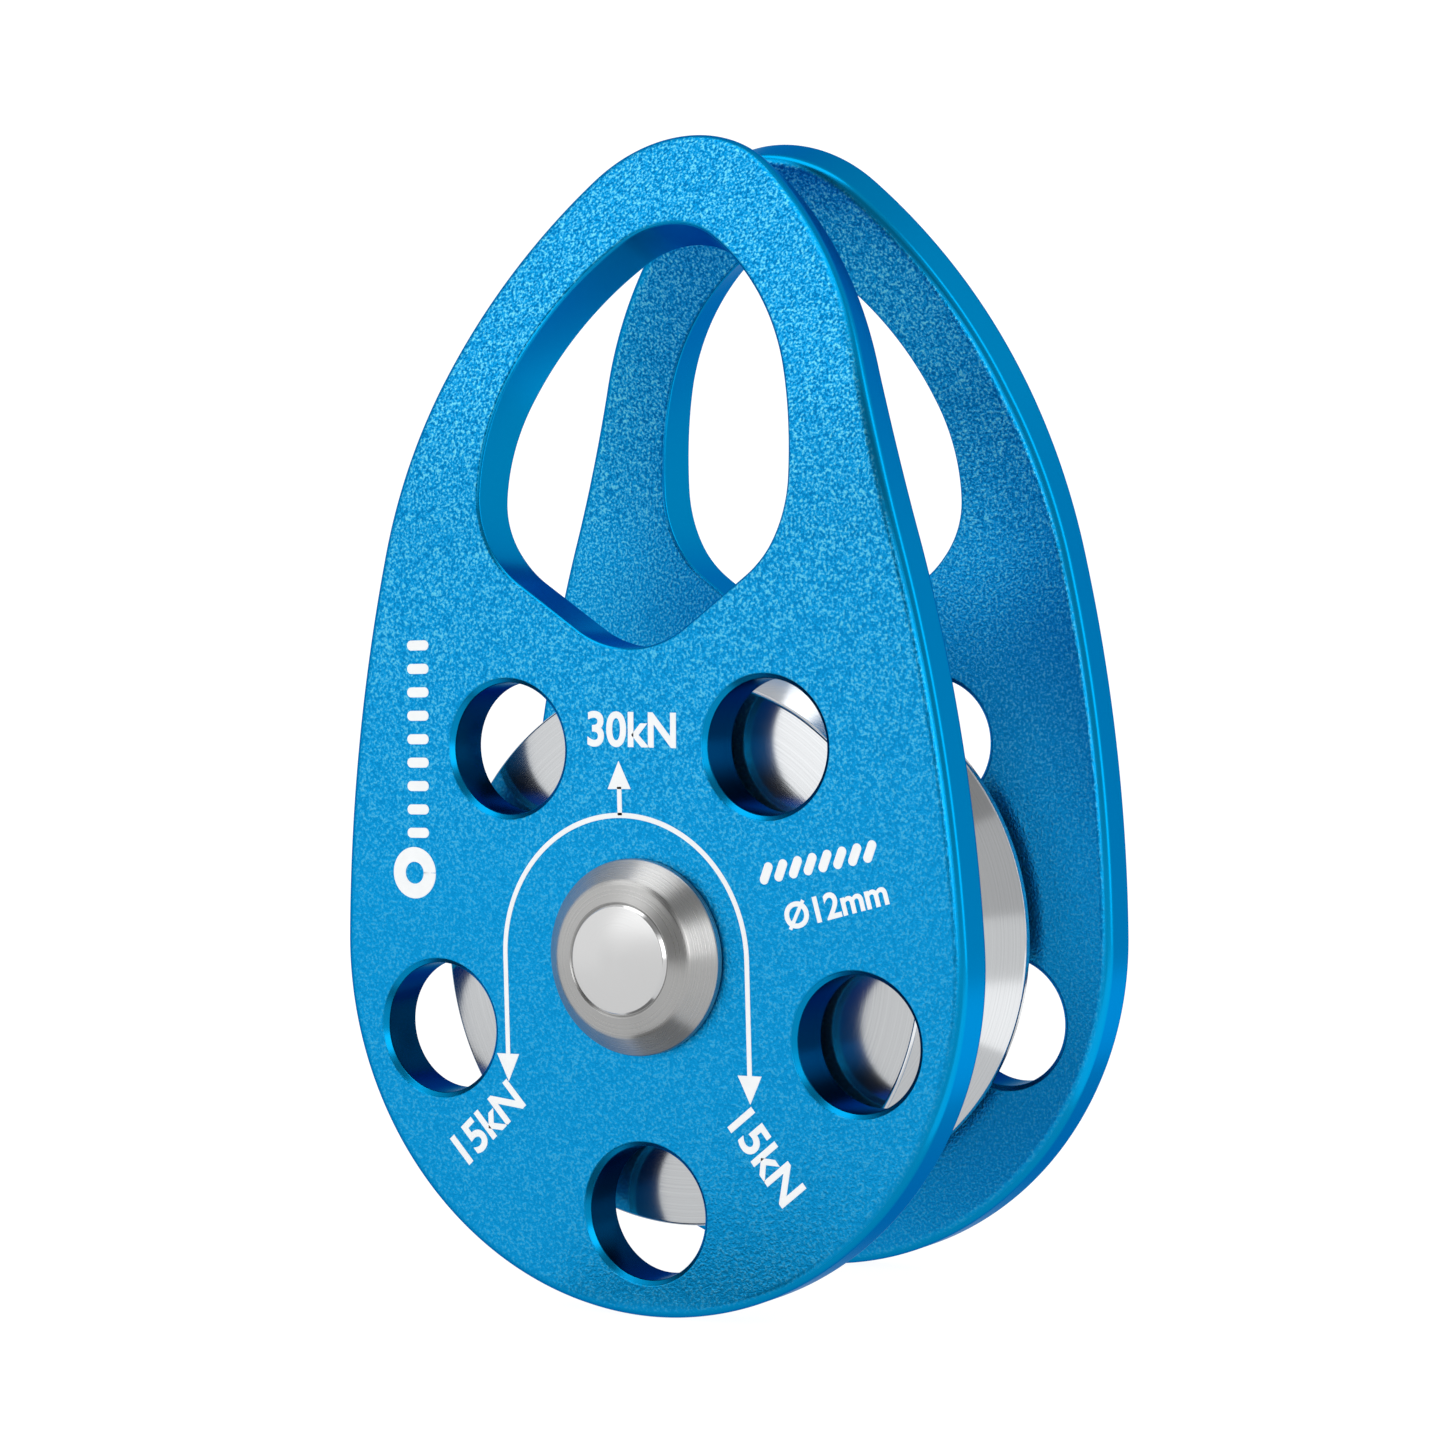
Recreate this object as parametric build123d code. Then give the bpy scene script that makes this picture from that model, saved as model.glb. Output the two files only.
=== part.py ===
from build123d import *
from collections import namedtuple
from math import acos, atan2, cos, degrees, hypot, radians, sin, sqrt
import os

# Rope pulley with two side plates that swing on one axle.
# The origin is the middle of the sheave on the axle's centre line. +Y runs along the axle from the
# front plate to the rear plate, and +Z runs from the axle up to the carabiner eye. Millimetres.

# ---- Side plates, as cut flat: heights are measured up the plate's middle surface from the axle ----
plate_thickness = 5.0
plate_gap = 24.5             # between the plates' inner faces, where they are flat
cheek_radius = 32.4          # lower edge, round about the axle
side_start_angle = 2.25       # where the cheek's arc turns into the long side arc, above level
side_end_angle = 21.140069   # where that arc turns into the shoulder arc, above level
apex_height = 75.5
apex_radius = 13.4
shoulder_depth = 22.356      # from the apex down to where the long side arc turns into the shoulder arc

eye_half_width = 16.2
eye_bottom_height = 27.5
eye_widest_rise = 14.3       # from the eye's lowest point up to its widest place
eye_crown_wall = 9.2         # metal left above the eye, at the apex
eye_corner_radius = 10.0     # from the widest place down to the straight flank
eye_bottom_radius = 10.0
eye_crown_radius = 8.0

hole_radius = 6.0            # lightening holes
hole_circle_radius = 23.0
hole_count = 5
hole_chamfer = 0.4

# ---- The inward lean of each plate's upper part ----
bend_above_eye_bottom = 8.5  # from the eye's lowest point up to where the bend starts
bend_radius = 43.5           # of the plate's middle surface
apex_gap = 2.17              # left between the two plates' tops
bend_sections = 7
rear_plate_swing = 3.0       # how far the rear plate stands turned on the axle at rest, top to +X

# ---- Axle and its collars ----
axle_radius = 5.0
axle_proud = 0.4             # how far the axle's ends stand out of the collars
axle_chamfer = 0.3
collar_sleeve_wall = 1.5
collar_flange_reach = 2.3    # how far the flange stands out past the sleeve
collar_rim_height = 0.7
collar_cone_reach = 0.4      # past the sleeve, where the cone turns into its flatter face
collar_cone_height = 1.9
collar_face_height = 0.6
collar_bore_chamfer = 0.15

# ---- Plate bushes and washers ----
bush_wall = 0.97
running_clearance = 0.03     # radial, between a bush and the sleeve that it turns on
end_clearance = 0.15         # axial, on each side of a plate
thrust_washer_reach = 2.0    # past the bush, so that the washer bears on the plate too
thrust_washer_thickness = 0.8
spacer_step = 0.1            # how far a spacer stays inside the inner race's shoulder

# ---- Sheave ----
sheave_radius = 25.0
sheave_side_clearance = 1.25  # between the sheave and each plate's inner face
sheave_lip_width = 0.8
tread_radius = 17.0           # bottom of the rope groove
groove_radius = 7.0           # cross-section of the groove's bottom, for rope up to 12 mm
sheave_edge_chamfer = 0.3
bearing_web_half_width = 0.8  # the shoulder between the two bearings
bearing_web_reach = 1.8       # how far the shoulder stands in from the bearings' outside

# ---- Sealed ball bearings, one each side of the shoulder ----
bearing_outer_radius = 13.0
bearing_width = 8.0
bearing_chamfer = 0.3
ball_share = 0.297625         # of the bearing's section, from bore to outside: the ball's radius
shoulder_share = 0.2375       # of the section: from the pitch circle to each race's shoulder
cage_share = 0.1375           # of the section: half the cage's wall
ball_count = 7
raceway_clearance = 0.06      # between a ball and the raceways
seal_thickness = 0.7
seal_recess = 0.1             # how far a seal stands inside the race's face
seal_seat_depth = 0.4
seal_lip_clearance = 0.06
cage_open_depth = 1.2         # from the balls' middle to the cage's open edge
cage_back_depth = 3.0         # from the balls' middle to the cage's back
cage_pocket_clearance = 0.05

# ---- Retaining rings that hold the bearings in the sheave ----
ring_thickness = 1.2
ring_groove_width = 1.3
ring_groove_depth = 0.6
ring_reach = 1.4              # how far a ring stands in from the bearings' outside
ring_gap_angle = 34.0
ring_lug_radius = 1.6
ring_lug_hole_radius = 0.8

# ---- Places along the axle, from the middle outwards ----
sheave_half_width = plate_gap / 2 - sheave_side_clearance
plate_inner_face = plate_gap / 2
plate_outer_face = plate_inner_face + plate_thickness
bearing_middle = bearing_web_half_width + bearing_width / 2
bearing_outer_face = bearing_web_half_width + bearing_width
washer_outer_face = plate_inner_face - end_clearance
washer_inner_face = washer_outer_face - thrust_washer_thickness
flange_inner_face = plate_outer_face + end_clearance
rim_outer_face = flange_inner_face + collar_rim_height
cone_outer_face = rim_outer_face + collar_cone_height
collar_outer_face = cone_outer_face + collar_face_height
axle_half_length = collar_outer_face + axle_proud

# ---- Radii, from the axle outwards ----
collar_sleeve_radius = axle_radius + collar_sleeve_wall
collar_flange_radius = collar_sleeve_radius + collar_flange_reach
collar_cone_radius = collar_sleeve_radius + collar_cone_reach
collar_bore_lip_radius = axle_radius + collar_bore_chamfer
bush_inner_radius = collar_sleeve_radius + running_clearance
bush_outer_radius = bush_inner_radius + bush_wall
thrust_washer_radius = bush_outer_radius + thrust_washer_reach
bearing_section = bearing_outer_radius - axle_radius
pitch_radius = (axle_radius + bearing_outer_radius) / 2
ball_radius = ball_share * bearing_section
inner_race_shoulder = pitch_radius - shoulder_share * bearing_section
outer_race_shoulder = pitch_radius + shoulder_share * bearing_section
cage_half_wall = cage_share * bearing_section
spacer_radius = inner_race_shoulder - spacer_step
bearing_web_radius = bearing_outer_radius - bearing_web_reach
ring_inner_radius = bearing_outer_radius - ring_reach
ring_groove_radius = bearing_outer_radius + ring_groove_depth

# ---- Heights up the flat plate, and the lean ----
side_end_height = apex_height - shoulder_depth
eye_widest_height = eye_bottom_height + eye_widest_rise
eye_top_height = apex_height - eye_crown_wall
bend_start = eye_bottom_height + bend_above_eye_bottom


def inward_reach(lean):
    """How far a plate's top comes in from the plate's middle plane, at a lean in degrees."""
    turn = radians(lean)
    straight = apex_height - bend_start - bend_radius * turn
    return bend_radius * (1 - cos(turn)) + straight * sin(turn) + plate_thickness / 2 * cos(turn)


def lean_to_reach(wanted):
    """The lean in degrees that brings a plate's top in by that much, found by halving a range."""
    low, high = 0.0, 90.0
    while high - low > 1e-9:
        middle = (low + high) / 2
        low, high = (middle, high) if inward_reach(middle) < wanted else (low, middle)
    return low


lean_angle = lean_to_reach((plate_gap + plate_thickness - apex_gap) / 2)
bend_end = bend_start + bend_radius * radians(lean_angle)

# An outline's right half is a run of arcs from its lowest point to its highest, angles in degrees
# from +X. Two arcs that don't meet are joined by a straight line.
Arc = namedtuple("Arc", "x z radius start end")


def arc_point(arc, angle):
    """The point of an arc at an angle in degrees."""
    return (arc.x + arc.radius * cos(radians(angle)), arc.z + arc.radius * sin(radians(angle)))


def plate_outline():
    """Right half of the side plate: cheek, long side, shoulder and apex, each tangent to the next."""
    cheek = Arc(0, 0, cheek_radius, -90, side_start_angle)
    start_x, start_z = arc_point(cheek, side_start_angle)
    turn = sin(radians(side_end_angle)) - sin(radians(side_start_angle))
    side_radius = (side_end_height - start_z) / turn
    side_x = start_x - side_radius * cos(radians(side_start_angle))
    side_z = start_z - side_radius * sin(radians(side_start_angle))
    side = Arc(side_x, side_z, side_radius, side_start_angle, side_end_angle)
    # The shoulder starts on the side arc's normal, and its radius makes it touch the apex arc.
    end_x, end_z = arc_point(side, side_end_angle)
    apex_z = apex_height - apex_radius
    normal_x = cos(radians(side_end_angle))
    normal_z = sin(radians(side_end_angle))
    along = end_x * normal_x + (end_z - apex_z) * normal_z
    shoulder_radius = (end_x**2 + (end_z - apex_z) ** 2 - apex_radius**2) / (2 * (along - apex_radius))
    shoulder_x = end_x - shoulder_radius * normal_x
    shoulder_z = end_z - shoulder_radius * normal_z
    apex_start = degrees(atan2(apex_z - shoulder_z, -shoulder_x))
    shoulder = Arc(shoulder_x, shoulder_z, shoulder_radius, side_end_angle, apex_start)
    apex = Arc(0, apex_z, apex_radius, apex_start, 90)
    return [cheek, side, shoulder, apex]


def eye_outline():
    """Right half of the carabiner eye: a round bottom, a straight flank, a corner and a pointed arch."""
    bottom_z = eye_bottom_height + eye_bottom_radius
    corner_x = eye_half_width - eye_corner_radius
    corner_z = eye_widest_height
    # The flank touches both the bottom arc and the corner arc.
    distance = hypot(corner_x, corner_z - bottom_z)
    slope = degrees(atan2(corner_z - bottom_z, corner_x))
    flank_angle = slope - degrees(acos((eye_bottom_radius - eye_corner_radius) / distance))
    bottom = Arc(0, bottom_z, eye_bottom_radius, -90, flank_angle)
    corner = Arc(corner_x, corner_z, eye_corner_radius, flank_angle, 0)
    # The arch starts upright at the widest place, and its radius makes it touch the crown arc.
    crown_z = eye_top_height - eye_crown_radius
    rise = crown_z - corner_z
    narrowing = eye_half_width - eye_crown_radius
    arch_radius = (eye_half_width**2 + rise**2 - eye_crown_radius**2) / (2 * narrowing)
    arch_x = eye_half_width - arch_radius
    crown_start = degrees(atan2(rise, -arch_x))
    arch = Arc(arch_x, corner_z, arch_radius, 0, crown_start)
    crown = Arc(0, crown_z, eye_crown_radius, crown_start, 90)
    return [bottom, corner, arch, crown]


def half_width(arcs, height):
    """How far an outline stands from the middle at a height."""
    for arc in arcs:
        low = arc_point(arc, arc.start)[1]
        high = arc_point(arc, arc.end)[1]
        if low <= height <= high:
            return arc.x + sqrt(arc.radius**2 - (height - arc.z) ** 2)
    for below, above in zip(arcs, arcs[1:]):
        low = arc_point(below, below.end)
        high = arc_point(above, above.start)
        if low[1] < height < high[1]:
            return low[0] + (high[0] - low[0]) * (height - low[1]) / (high[1] - low[1])
    raise ValueError(f"the outline has no width at height {height}")


def outline_prism(arcs, thickness):
    """The outline and its mirror image as a flat slab in the XZ plane, half its thickness each side."""
    edges = []
    for mirrored in (False, True):
        last = None
        for arc in arcs:
            start, end = arc_point(arc, arc.start), arc_point(arc, arc.end)
            centre, first = arc.x, arc.start
            if mirrored:
                start, end = (-start[0], start[1]), (-end[0], end[1])
                centre, first = -arc.x, 180 - arc.end
            if last and hypot(start[0] - last[0], start[1] - last[1]) > 1e-6:
                edges.append(Line(last, start))
            edges.append(CenterArc((centre, arc.z), arc.radius, first, arc.end - arc.start))
            last = end
    return extrude(Plane.XZ * make_face(edges), amount=thickness / 2, both=True)


def turned(points):
    """A solid of revolution about the axle, from (radius, place along the axle) points."""
    return revolve(make_face(Polyline(points, close=True)), axis=Axis.Y)


def ring(inner_radius, outer_radius, start, end):
    """A plain ring about the axle, between two places along it."""
    return turned([(inner_radius, start), (outer_radius, start), (outer_radius, end), (inner_radius, end)])


def bend_frame(height):
    """The plate's cross-section plane at a height inside the bend. Its y direction points inwards."""
    angle = (height - bend_start) / bend_radius
    centre = (0, bend_radius * (1 - cos(angle)), bend_start + bend_radius * sin(angle))
    return Plane(origin=centre, x_dir=(1, 0, 0), z_dir=(0, sin(angle), cos(angle)))


def side_plate():
    """One side plate about its own middle plane, with its upper part leaning towards +Y."""
    outer, eye = plate_outline(), eye_outline()
    flat = outline_prism(outer, plate_thickness) - outline_prism(eye, 2 * plate_thickness)
    reach = 4 * apex_height
    lower = flat & Pos(0, 0, bend_start - reach / 2) * Box(reach, reach, reach)
    upper = flat & Pos(0, 0, bend_end + reach / 2) * Box(reach, reach, reach)
    top = bend_frame(bend_end)
    leaning = Pos(top.origin) * Rot(-lean_angle, 0, 0) * Pos(0, 0, -bend_end) * upper
    plate = lower + leaning
    for side in (-1, 1):
        sections = []
        for step in range(bend_sections):
            height = bend_start + (bend_end - bend_start) * step / (bend_sections - 1)
            inside, outside = half_width(eye, height), half_width(outer, height)
            limb = Pos(side * (inside + outside) / 2, 0) * Rectangle(outside - inside, plate_thickness)
            sections.append(bend_frame(height) * limb)
        plate += loft(sections)
    half = plate_thickness / 2
    plate -= ring(0, bush_outer_radius, -half, half)
    wide = hole_radius + hole_chamfer
    drill = turned([(0, -half), (wide, -half), (hole_radius, hole_chamfer - half),
                    (hole_radius, half - hole_chamfer), (wide, half), (0, half)])
    for index in range(hole_count):
        angle = radians(-90 + index * 360 / hole_count)
        plate -= Pos(hole_circle_radius * cos(angle), 0, hole_circle_radius * sin(angle)) * drill
    return plate


def collar():
    """Rear collar: a sleeve through the plate, with a coned flange outside it."""
    return turned([
        (axle_radius, washer_outer_face),
        (collar_sleeve_radius, washer_outer_face),
        (collar_sleeve_radius, flange_inner_face),
        (collar_flange_radius, flange_inner_face),
        (collar_flange_radius, rim_outer_face),
        (collar_cone_radius, cone_outer_face),
        (collar_bore_lip_radius, collar_outer_face),
        (axle_radius, collar_outer_face - collar_bore_chamfer),
    ])


def axle_pin():
    """The plain round axle, chamfered at both ends."""
    end, edge = axle_half_length, axle_half_length - axle_chamfer
    small = axle_radius - axle_chamfer
    return turned([(0, -end), (small, -end), (axle_radius, -edge), (axle_radius, edge), (small, end), (0, end)])


def sheave():
    """Grooved wheel: a round-bottomed groove with straight flared flanks, bored for two bearings."""
    groove_centre = tread_radius + groove_radius
    groove_edge = sheave_half_width - sheave_lip_width
    # The flank is the tangent from the groove's edge to the round bottom.
    rise = sheave_radius - groove_centre
    to_edge = degrees(atan2(rise, groove_edge))
    flank = to_edge - degrees(acos(groove_radius / hypot(rise, groove_edge)))
    touch = (groove_centre + groove_radius * sin(radians(flank)), groove_radius * cos(radians(flank)))
    rim, half, cut = sheave_radius, sheave_half_width, sheave_edge_chamfer
    groove_end = (rim, groove_edge)
    bore = bearing_outer_radius
    right = [
        (bearing_web_radius, bearing_web_half_width),
        (bore, bearing_web_half_width),
        (bore, bearing_outer_face),
        (ring_groove_radius, bearing_outer_face),
        (ring_groove_radius, bearing_outer_face + ring_groove_width),
        (bore, bearing_outer_face + ring_groove_width),
        (bore, half - cut),
        (bore + cut, half),
        (rim - cut, half),
        (rim, half - cut),
        groove_end,
        touch,
    ]
    left = [(radius, -place) for radius, place in right]
    bottom = ThreePointArc(touch, (tread_radius, 0), left[-1])
    edges = [Polyline(right), bottom, Polyline(left), Line(left[0], right[0])]
    return revolve(make_face(edges), axis=Axis.Y)


def ball_places():
    """Centres of one bearing's balls, with the bearing's middle at the origin."""
    for index in range(ball_count):
        angle = radians(90 + index * 360 / ball_count)
        yield Pos(pitch_radius * cos(angle), 0, pitch_radius * sin(angle))


def bearing_pieces():
    """One sealed deep-groove ball bearing about the origin, with the cage's back towards +Y."""
    half, cut = bearing_width / 2, bearing_chamfer
    raceway = Rot(90, 0, 0) * Torus(pitch_radius, ball_radius + raceway_clearance)
    seal_outer = half - seal_recess
    seal_inner = seal_outer - seal_thickness
    seat_radius = outer_race_shoulder + seal_seat_depth
    outer = turned([
        (outer_race_shoulder, -seal_inner), (seat_radius, -seal_inner), (seat_radius, -half),
        (bearing_outer_radius - cut, -half), (bearing_outer_radius, cut - half),
        (bearing_outer_radius, half - cut), (bearing_outer_radius - cut, half),
        (seat_radius, half), (seat_radius, seal_inner), (outer_race_shoulder, seal_inner),
    ])
    inner = turned([
        (axle_radius + cut, -half), (inner_race_shoulder, -half), (inner_race_shoulder, half),
        (axle_radius + cut, half), (axle_radius, half - cut), (axle_radius, cut - half),
    ])
    cage = ring(pitch_radius - cage_half_wall, pitch_radius + cage_half_wall, -cage_open_depth, cage_back_depth)
    balls = []
    for place in ball_places():
        balls.append(place * Sphere(ball_radius))
        cage -= place * Sphere(ball_radius + cage_pocket_clearance)
    seal = ring(inner_race_shoulder + seal_lip_clearance, seat_radius, seal_inner, seal_outer)
    return {
        "outer_race": outer - raceway,
        "inner_race": inner - raceway,
        "balls": Compound(children=balls),
        "cage": cage,
        "outboard_seal": seal,
        "inboard_seal": mirror(seal, about=Plane.XZ),
    }


def retaining_ring():
    """Rear internal retaining ring: an open ring with two holed lugs beside its gap."""
    near, far = bearing_outer_face, bearing_outer_face + ring_thickness
    body = ring(ring_inner_radius, ring_groove_radius, near, far)
    half_gap = radians(ring_gap_angle / 2)
    reach = 2 * ring_groove_radius
    gap = make_face(Polyline([(0, 0), (reach * sin(half_gap), -reach * cos(half_gap)),
                              (-reach * sin(half_gap), -reach * cos(half_gap))], close=True))
    body -= Pos(0, far, 0) * extrude(Plane.XZ * gap, amount=2 * ring_thickness)
    lug_place = ring_inner_radius
    lug_angle = half_gap + ring_lug_radius / lug_place
    for side in (-1, 1):
        centre = Pos(side * lug_place * sin(lug_angle), 0, -lug_place * cos(lug_angle))
        body += centre * ring(0, ring_lug_radius, near, far)
        body -= centre * ring(0, ring_lug_hole_radius, near, far)
    return body


def build_nodes():
    """Every piece of the pulley in its own named node."""
    to_rear = Pos(0, plate_inner_face + plate_thickness / 2, 0)
    leaning_plate = side_plate()
    rear_plate = to_rear * mirror(leaning_plate, about=Plane.XZ)
    nodes = {
        "front_side_plate": to_rear.inverse() * leaning_plate,
        "rear_side_plate": Rot(0, rear_plate_swing, 0) * rear_plate,
        "axle_pin": axle_pin(),
        "sheave": sheave(),
        "middle_spacer": ring(axle_radius, spacer_radius, -bearing_web_half_width, bearing_web_half_width),
    }
    paired = {
        "collar": collar(),
        "plate_bush": ring(bush_inner_radius, bush_outer_radius, plate_inner_face, plate_outer_face),
        "thrust_washer": ring(axle_radius, thrust_washer_radius, washer_inner_face, washer_outer_face),
        "bearing_spacer": ring(axle_radius, spacer_radius, bearing_outer_face, washer_inner_face),
        "retaining_ring": retaining_ring(),
    }
    for name, piece in bearing_pieces().items():
        paired[f"bearing_{name}"] = Pos(0, bearing_middle, 0) * piece
    for name, piece in paired.items():
        nodes[f"rear_{name}"] = piece
        nodes[f"front_{name}"] = mirror(piece, about=Plane.XZ)
    return nodes


os.makedirs("parts", exist_ok=True)
for node_name, solid in build_nodes().items():
    export_step(solid, f"parts/{node_name}.step")
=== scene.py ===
import logging
from dataclasses import dataclass
from enum import Enum
from math import acos, atan2, ceil, cos, degrees, hypot, pi, radians, sin, sqrt, tan
from typing import NamedTuple, Sequence

import bpy
import numpy as np
from mathutils import Matrix, Vector
from mathutils.geometry import delaunay_2d_cdt


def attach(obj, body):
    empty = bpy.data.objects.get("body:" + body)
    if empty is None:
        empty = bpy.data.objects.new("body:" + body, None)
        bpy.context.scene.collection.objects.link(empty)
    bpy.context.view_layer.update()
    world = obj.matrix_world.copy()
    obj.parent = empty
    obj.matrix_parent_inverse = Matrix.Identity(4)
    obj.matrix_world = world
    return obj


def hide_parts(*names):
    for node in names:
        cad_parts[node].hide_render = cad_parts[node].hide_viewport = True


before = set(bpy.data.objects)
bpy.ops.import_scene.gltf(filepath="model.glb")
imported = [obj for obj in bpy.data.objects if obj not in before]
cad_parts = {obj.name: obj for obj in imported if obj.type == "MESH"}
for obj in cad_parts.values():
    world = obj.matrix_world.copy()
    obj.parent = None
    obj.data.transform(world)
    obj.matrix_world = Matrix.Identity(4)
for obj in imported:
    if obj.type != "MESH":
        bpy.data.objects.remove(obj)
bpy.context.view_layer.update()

# A rope pulley: two blasted and anodised side plates swing on one stainless axle, with a turned
# aluminium sheave on sealed bearings between them. All sizes are in millimetres and are turned to
# metres when a mesh is written.

LOG = logging.getLogger("rope_pulley")
MM = 0.001


class Side(Enum):
    """Which end of the axle a piece is on. The value is the sign of its place along +Y."""

    FRONT = -1
    REAR = 1

    @property
    def word(self) -> str:
        """The side's name as node names use it."""
        return self.name.lower()


# ---- Small helpers ----


def linear(hex_colour: str) -> tuple[float, float, float, float]:
    """Turn an sRGB colour such as #1F97D8 to linear red, green, blue and full opacity.

    Args:
        hex_colour: The colour, as # and six digits.

    Returns:
        The linear colour with an alpha of 1.
    """
    share = np.array([int(hex_colour[i : i + 2], 16) for i in (1, 3, 5)]) / 255
    curve = np.where(share <= 0.04045, share / 12.92, ((share + 0.055) / 1.055) ** 2.4)
    return (float(curve[0]), float(curve[1]), float(curve[2]), 1.0)


def add_node(
    tree: bpy.types.NodeTree,
    kind: str,
    settings: dict[str, object] | None = None,
    values: dict[str | int, object] | None = None,
    links: dict[str | int, bpy.types.NodeSocket] | None = None,
) -> bpy.types.Node:
    """Add one shader node.

    Args:
        tree: The material's node tree.
        kind: The node's type name.
        settings: Properties of the node.
        values: Constants for its input sockets.
        links: Output sockets that feed its input sockets.

    Returns:
        The new node.
    """
    node = tree.nodes.new(kind)
    for key, value in (settings or {}).items():
        setattr(node, key, value)
    for key, value in (values or {}).items():
        node.inputs[key].default_value = value
    for key, source in (links or {}).items():
        tree.links.new(source, node.inputs[key])
    return node


def unit(vector: np.ndarray) -> np.ndarray:
    """The vectors along the last axis, scaled to length 1."""
    return vector / np.linalg.norm(vector, axis=-1, keepdims=True)


class Arc(NamedTuple):
    """One arc of an outline in the plate's flat plane, angles in degrees from +X."""

    x: float
    z: float
    radius: float
    start: float
    end: float

    def at(self, angles: np.ndarray) -> tuple[np.ndarray, np.ndarray]:
        """Points on the arc: centre plus radius times the direction of each angle.

        Args:
            angles: Angles in degrees.

        Returns:
            The points, and the directions from the centre.
        """
        turn = np.radians(angles)
        outward = np.stack([np.cos(turn), np.sin(turn)], axis=-1)
        return np.array([self.x, self.z]) + self.radius * outward, outward


class Profile(NamedTuple):
    """Points along a section, with the outward direction at each."""

    points: np.ndarray
    normals: np.ndarray


def softened(corners: Sequence[tuple[float, float, float]], closed: bool, chord: float = 0.35) -> Profile:
    """Round every corner of a section with an arc that touches both of its straight stretches.

    Each arc runs round a centre that stands its radius off both stretches, and the outward
    direction is the travel direction turned a quarter to the right.

    Args:
        corners: Two coordinates and a rounding radius for each corner, anticlockwise.
        closed: Whether the last corner joins the first. An open section keeps its end points.
        chord: The longest step along an arc.

    Returns:
        The rounded section.
    """
    places = np.array([corner[:2] for corner in corners], float)
    points, normals = [], []
    for index, (here, corner) in enumerate(zip(places, corners)):
        before, after = places[index - 1], places[(index + 1) % len(places)]
        if not closed and index in (0, len(places) - 1):
            along = unit(after - here if index == 0 else here - before)
            points.append(here[None])
            normals.append(np.array([[along[1], -along[0]]]))
            continue
        into, out = unit(here - before), unit(after - here)
        turn = atan2(into[0] * out[1] - into[1] * out[0], float(into @ out))
        shortest = min(np.linalg.norm(here - before), np.linalg.norm(after - here))
        cut = min(corner[2] * tan(abs(turn) / 2), 0.48 * shortest)
        radius = cut / tan(abs(turn) / 2)
        steps = max(4, ceil(radius * abs(turn) / chord))
        angles = np.linspace(0, turn, steps)
        travel = np.stack([into[0] * np.cos(angles) - into[1] * np.sin(angles),
                           into[0] * np.sin(angles) + into[1] * np.cos(angles)], axis=-1)
        right = np.stack([travel[:, 1], -travel[:, 0]], axis=-1)
        centre = here - into * cut - np.sign(turn) * radius * right[0]
        points.append(centre + np.sign(turn) * radius * right)
        normals.append(right)
    return Profile(np.concatenate(points), np.concatenate(normals))


# ---- Meshes ----


class Skin(NamedTuple):
    """Vertices, their outward directions, and faces as index rows, all in millimetres."""

    points: np.ndarray
    normals: np.ndarray
    faces: list[list[int]]


def grid_skin(points: np.ndarray, normals: np.ndarray, wrap_rows: bool, wrap_columns: bool) -> Skin:
    """Join a grid of points into quads: each joins a point to the next one in both directions.

    Args:
        points: Rows by columns by 3.
        normals: The outward direction at each point.
        wrap_rows: Whether the last row joins the first.
        wrap_columns: Whether the last column joins the first.

    Returns:
        The skin, with a row that is one point made a pole with triangles round it.
    """
    rows, columns = points.shape[:2]
    index = np.arange(rows * columns).reshape(rows, columns)
    if wrap_rows:
        index = np.concatenate([index, index[:1]])
    if wrap_columns:
        index = np.concatenate([index, index[:, :1]], axis=1)
    quads = np.stack([index[:-1, :-1], index[:-1, 1:], index[1:, 1:], index[1:, :-1]], axis=-1).reshape(-1, 4)
    flat_points, flat_normals = points.reshape(-1, 3), normals.reshape(-1, 3)
    faces: list[list[int]] = []
    poles = [row for row in (0, rows - 1) if np.ptp(points[row], axis=0).max() < 1e-9]
    for row in poles:
        members = index[row]
        quads = np.where(np.isin(quads, members), members[0], quads)
    same = (quads[:, 0] == quads[:, 1]) | (quads[:, 2] == quads[:, 3])
    faces += quads[~same].tolist()
    for quad in quads[same].tolist():
        faces.append(list(dict.fromkeys(quad)))
    used = np.unique(np.concatenate([np.array(face) for face in faces])) if poles else None
    if used is not None:
        renumber = np.full(len(flat_points), -1)
        renumber[used] = np.arange(len(used))
        faces = [[int(renumber[corner]) for corner in face] for face in faces]
        flat_points, flat_normals = flat_points[used], flat_normals[used]
    return Skin(flat_points, flat_normals, faces)


def joined(skins: Sequence[Skin]) -> Skin:
    """Several skins as one, with each one's face numbers moved past those before it.

    Args:
        skins: The skins, in order.

    Returns:
        One skin.
    """
    offset, faces = 0, []
    for skin in skins:
        faces += [[corner + offset for corner in face] for face in skin.faces]
        offset += len(skin.points)
    return Skin(np.concatenate([s.points for s in skins]), np.concatenate([s.normals for s in skins]), faces)


def welded(skin: Skin) -> Skin:
    """The skin with vertices at one place made one, with the mean of their directions.

    Args:
        skin: The skin to weld.

    Returns:
        The new skin.
    """
    _, first, number = np.unique(np.round(skin.points, 5), axis=0, return_index=True, return_inverse=True)
    number = number.reshape(-1)
    total = np.zeros((len(first), 3))
    np.add.at(total, number, skin.normals)
    faces = [[int(number[corner]) for corner in face] for face in skin.faces]
    return Skin(skin.points[first], unit(total), faces)


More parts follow.
